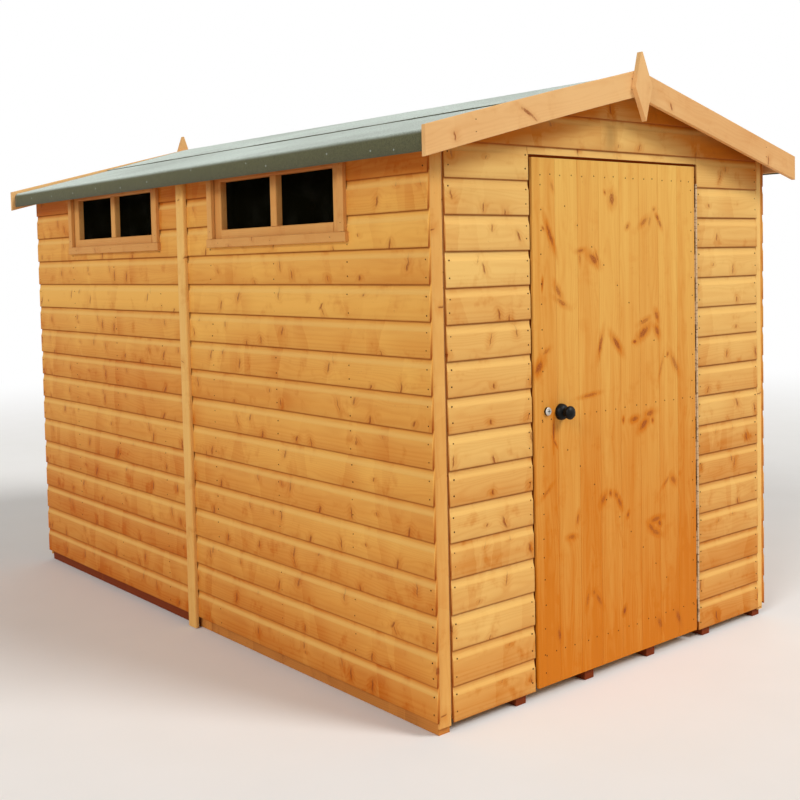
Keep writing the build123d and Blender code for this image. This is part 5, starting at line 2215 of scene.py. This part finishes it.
LOWER_STROKES = (
    (610, 180, 645, 165, 16, 0.7), (700, 148, 742, 130, 18, 0.6), (702, 182, 665, 232, 22, 0.75),
    (735, 170, 738, 192, 12, 0.7), (560, 166, 560, 192, 9, 0.75), (142, 197, 142, 309, 6, 1.2),
    (142, 300, 160, 335, 6, 0.7), (848, 520, 872, 552, 20, 0.5), (832, 522, 800, 575, 9, 0.4),
    (122, 585, 80, 645, 12, 0.35), (452, 628, 430, 682, 20, 0.5), (482, 606, 485, 632, 12, 0.6),
    (510, 618, 528, 645, 14, 0.5), (530, 648, 547, 698, 14, 0.65), (592, 732, 585, 762, 11, 0.7),
    (290, 745, 284, 800, 14, 0.5), (235, 884, 272, 878, 16, 0.5), (728, 785, 780, 765, 16, 0.6),
    (715, 808, 742, 842, 16, 0.6), (772, 790, 784, 806, 14, 0.8), (732, 842, 778, 862, 16, 0.5),
    (352, 1215, 343, 1295, 14, 0.4), (384, 1200, 388, 1226, 14, 0.4), (400, 1228, 428, 1282, 16, 0.5),
    (572, 1306, 564, 1340, 12, 1.2), (880, 1328, 902, 1390, 18, 0.55), (770, 1370, 792, 1420, 20, 0.5),
    (174, 1440, 182, 1495, 16, 0.6),
)
DOOR_KNOTS = read_marks((530, 155), UPPER_STROKES) + read_marks((530, 390), LOWER_STROKES)
TRIM_KNOTS = (Mark(-0.569, 1.964, 0.03, 0.006, 66, 0.8), Mark(-0.538, 1.947, 0.018, 0.004, 56, 0.5))


def main() -> None:
    """Builds the shed's sub-assemblies in order, then the studio."""
    logging.basicConfig(level=logging.INFO, format="%(name)s %(message)s")
    walls = Timber(
        "honey_stained_boards",
        linear(234, 188, 108),
        linear(196, 110, 10),
        jumps=0.32,
        patches=0.6,
        fade=0.34,
        painted_roof_shade=1.4,
        painted_roof_shade_reach=0.2,
    ).make()
    sides = Timber(
        "honey_stained_side_boards",
        linear(234, 174, 82),
        linear(194, 100, 8),
        patches=0.65,
        fade=0.36,
        painted_roof_shade=0.9,
        painted_roof_shade_reach=0.34,
    ).make()
    doors = Timber(
        "honey_stained_door_boards",
        linear(236, 190, 98),
        linear(203, 115, 10),
        knot=linear(140, 58, 4),
        depth=0.58,
        knots=0.0,
        jumps=0.0,
        rings=0.08,
        streaks=0.62,
        flare=0.45,
        smudges=0.1,
        patches=0.4,
        fade=0.4,
        fade_from=1.08,
        marks=DOOR_KNOTS,
    ).make()
    planed = {"knots": 0.2, "jumps": 0.2}
    trims = Timber(
        "planed_trim", linear(230, 181, 120), linear(200, 128, 60), smudges=0.2, marks=TRIM_KNOTS, **planed
    ).make()
    strips = Timber(
        "planed_cover_strips", linear(236, 188, 108), linear(208, 136, 56), painted_roof_shade=1.3, **planed
    ).make()
    casings = Timber("window_casings", linear(218, 160, 90), linear(188, 114, 48), painted_roof_shade=1.3, **planed).make()
    frames = Timber(
        "window_joinery", linear(222, 164, 92), linear(186, 108, 44), knots=0.1, jumps=0.2, painted_roof_shade=1.3
    ).make()
    inside = Timber("framing_softwood", linear(228, 186, 128), linear(196, 132, 70), fade=0.0).make()
    rough_boards = Timber("sawn_boards", linear(214, 172, 116), linear(176, 118, 62), fade=0.0, rough=0.75).make()
    treated = Timber("treated_bearers", linear(206, 134, 60), linear(120, 48, 16), knots=0.1, rough=0.8).make()
    nails = Metal("stained_nail_heads", linear(58, 27, 3), linear(36, 16, 2), 0.0, 0.8, specular=0.1).make()
    clouts = Metal("galvanised_nail_heads", linear(150, 156, 146), linear(100, 102, 92), 0.4, 0.6).make()
    steel = Metal(
        "plated_hinge_steel",
        linear(204, 174, 134),
        linear(96, 58, 22),
        0.3,
        0.55,
        dirt_share=0.92,
        dirt_size=(60.0, 60.0, 150.0),
    ).make()
    bright = Metal(
        "bright_lock_plate", linear(212, 208, 200), linear(140, 128, 110), 0.7, 0.35, slots_from=-1.4985
    ).make()
    black = Metal("black_knob_paint", linear(8, 8, 7), linear(20, 19, 16), 0.0, 0.42, specular=0.16).make()
    felt, sheet = MineralFelt().make(), Glazing().make()

    left_nodes = ("left_wall_lower_front", "left_wall_lower_back", "left_wall_window_piers", "left_wall_window_heads")
    side_lines = (-1.471, -1.0815, -0.644, -0.207, -0.02, 0.02, 0.206, 0.636, 1.066, 1.471)
    SideWall(Side.LEFT, 0.0, nail_lines=side_lines).build(sides, nails, left_nodes)
    right_lines = (-1.471, -0.9768, -0.4982, -0.02, 0.02, 0.4982, 0.9768, 1.471)
    SideWall(Side.RIGHT, 0.0, nail_lines=right_lines).build(sides, nails, ("right_wall_front", "right_wall_back"))
    front_nodes = ("front_wall_left", "front_wall_right", "front_wall_top")
    Gable(End.FRONT, 0.0).build(walls, nails, front_nodes)
    Gable(End.BACK, 0.0, nail_lines=(-0.838, -0.285, 0.285, 0.86)).build(walls, nails, ("back_wall",))
    Strips().build(strips)
    framing = Framing()
    framing.rails(inside)
    framing.studs(inside)
    framing.roof_timbers(inside)
    Floor().build(rough_boards, treated)
    Roof().build(rough_boards, felt, clouts)
    Bargeboards().build(trims, nails)
    Windows().build(frames, casings, nails)
    dress("window_glass", sheet)
    door = Door()
    door.leaf(doors, inside, nails)
    door.fittings(black, steel, bright)
    Studio().build()


if __name__ == "__main__":
    main()
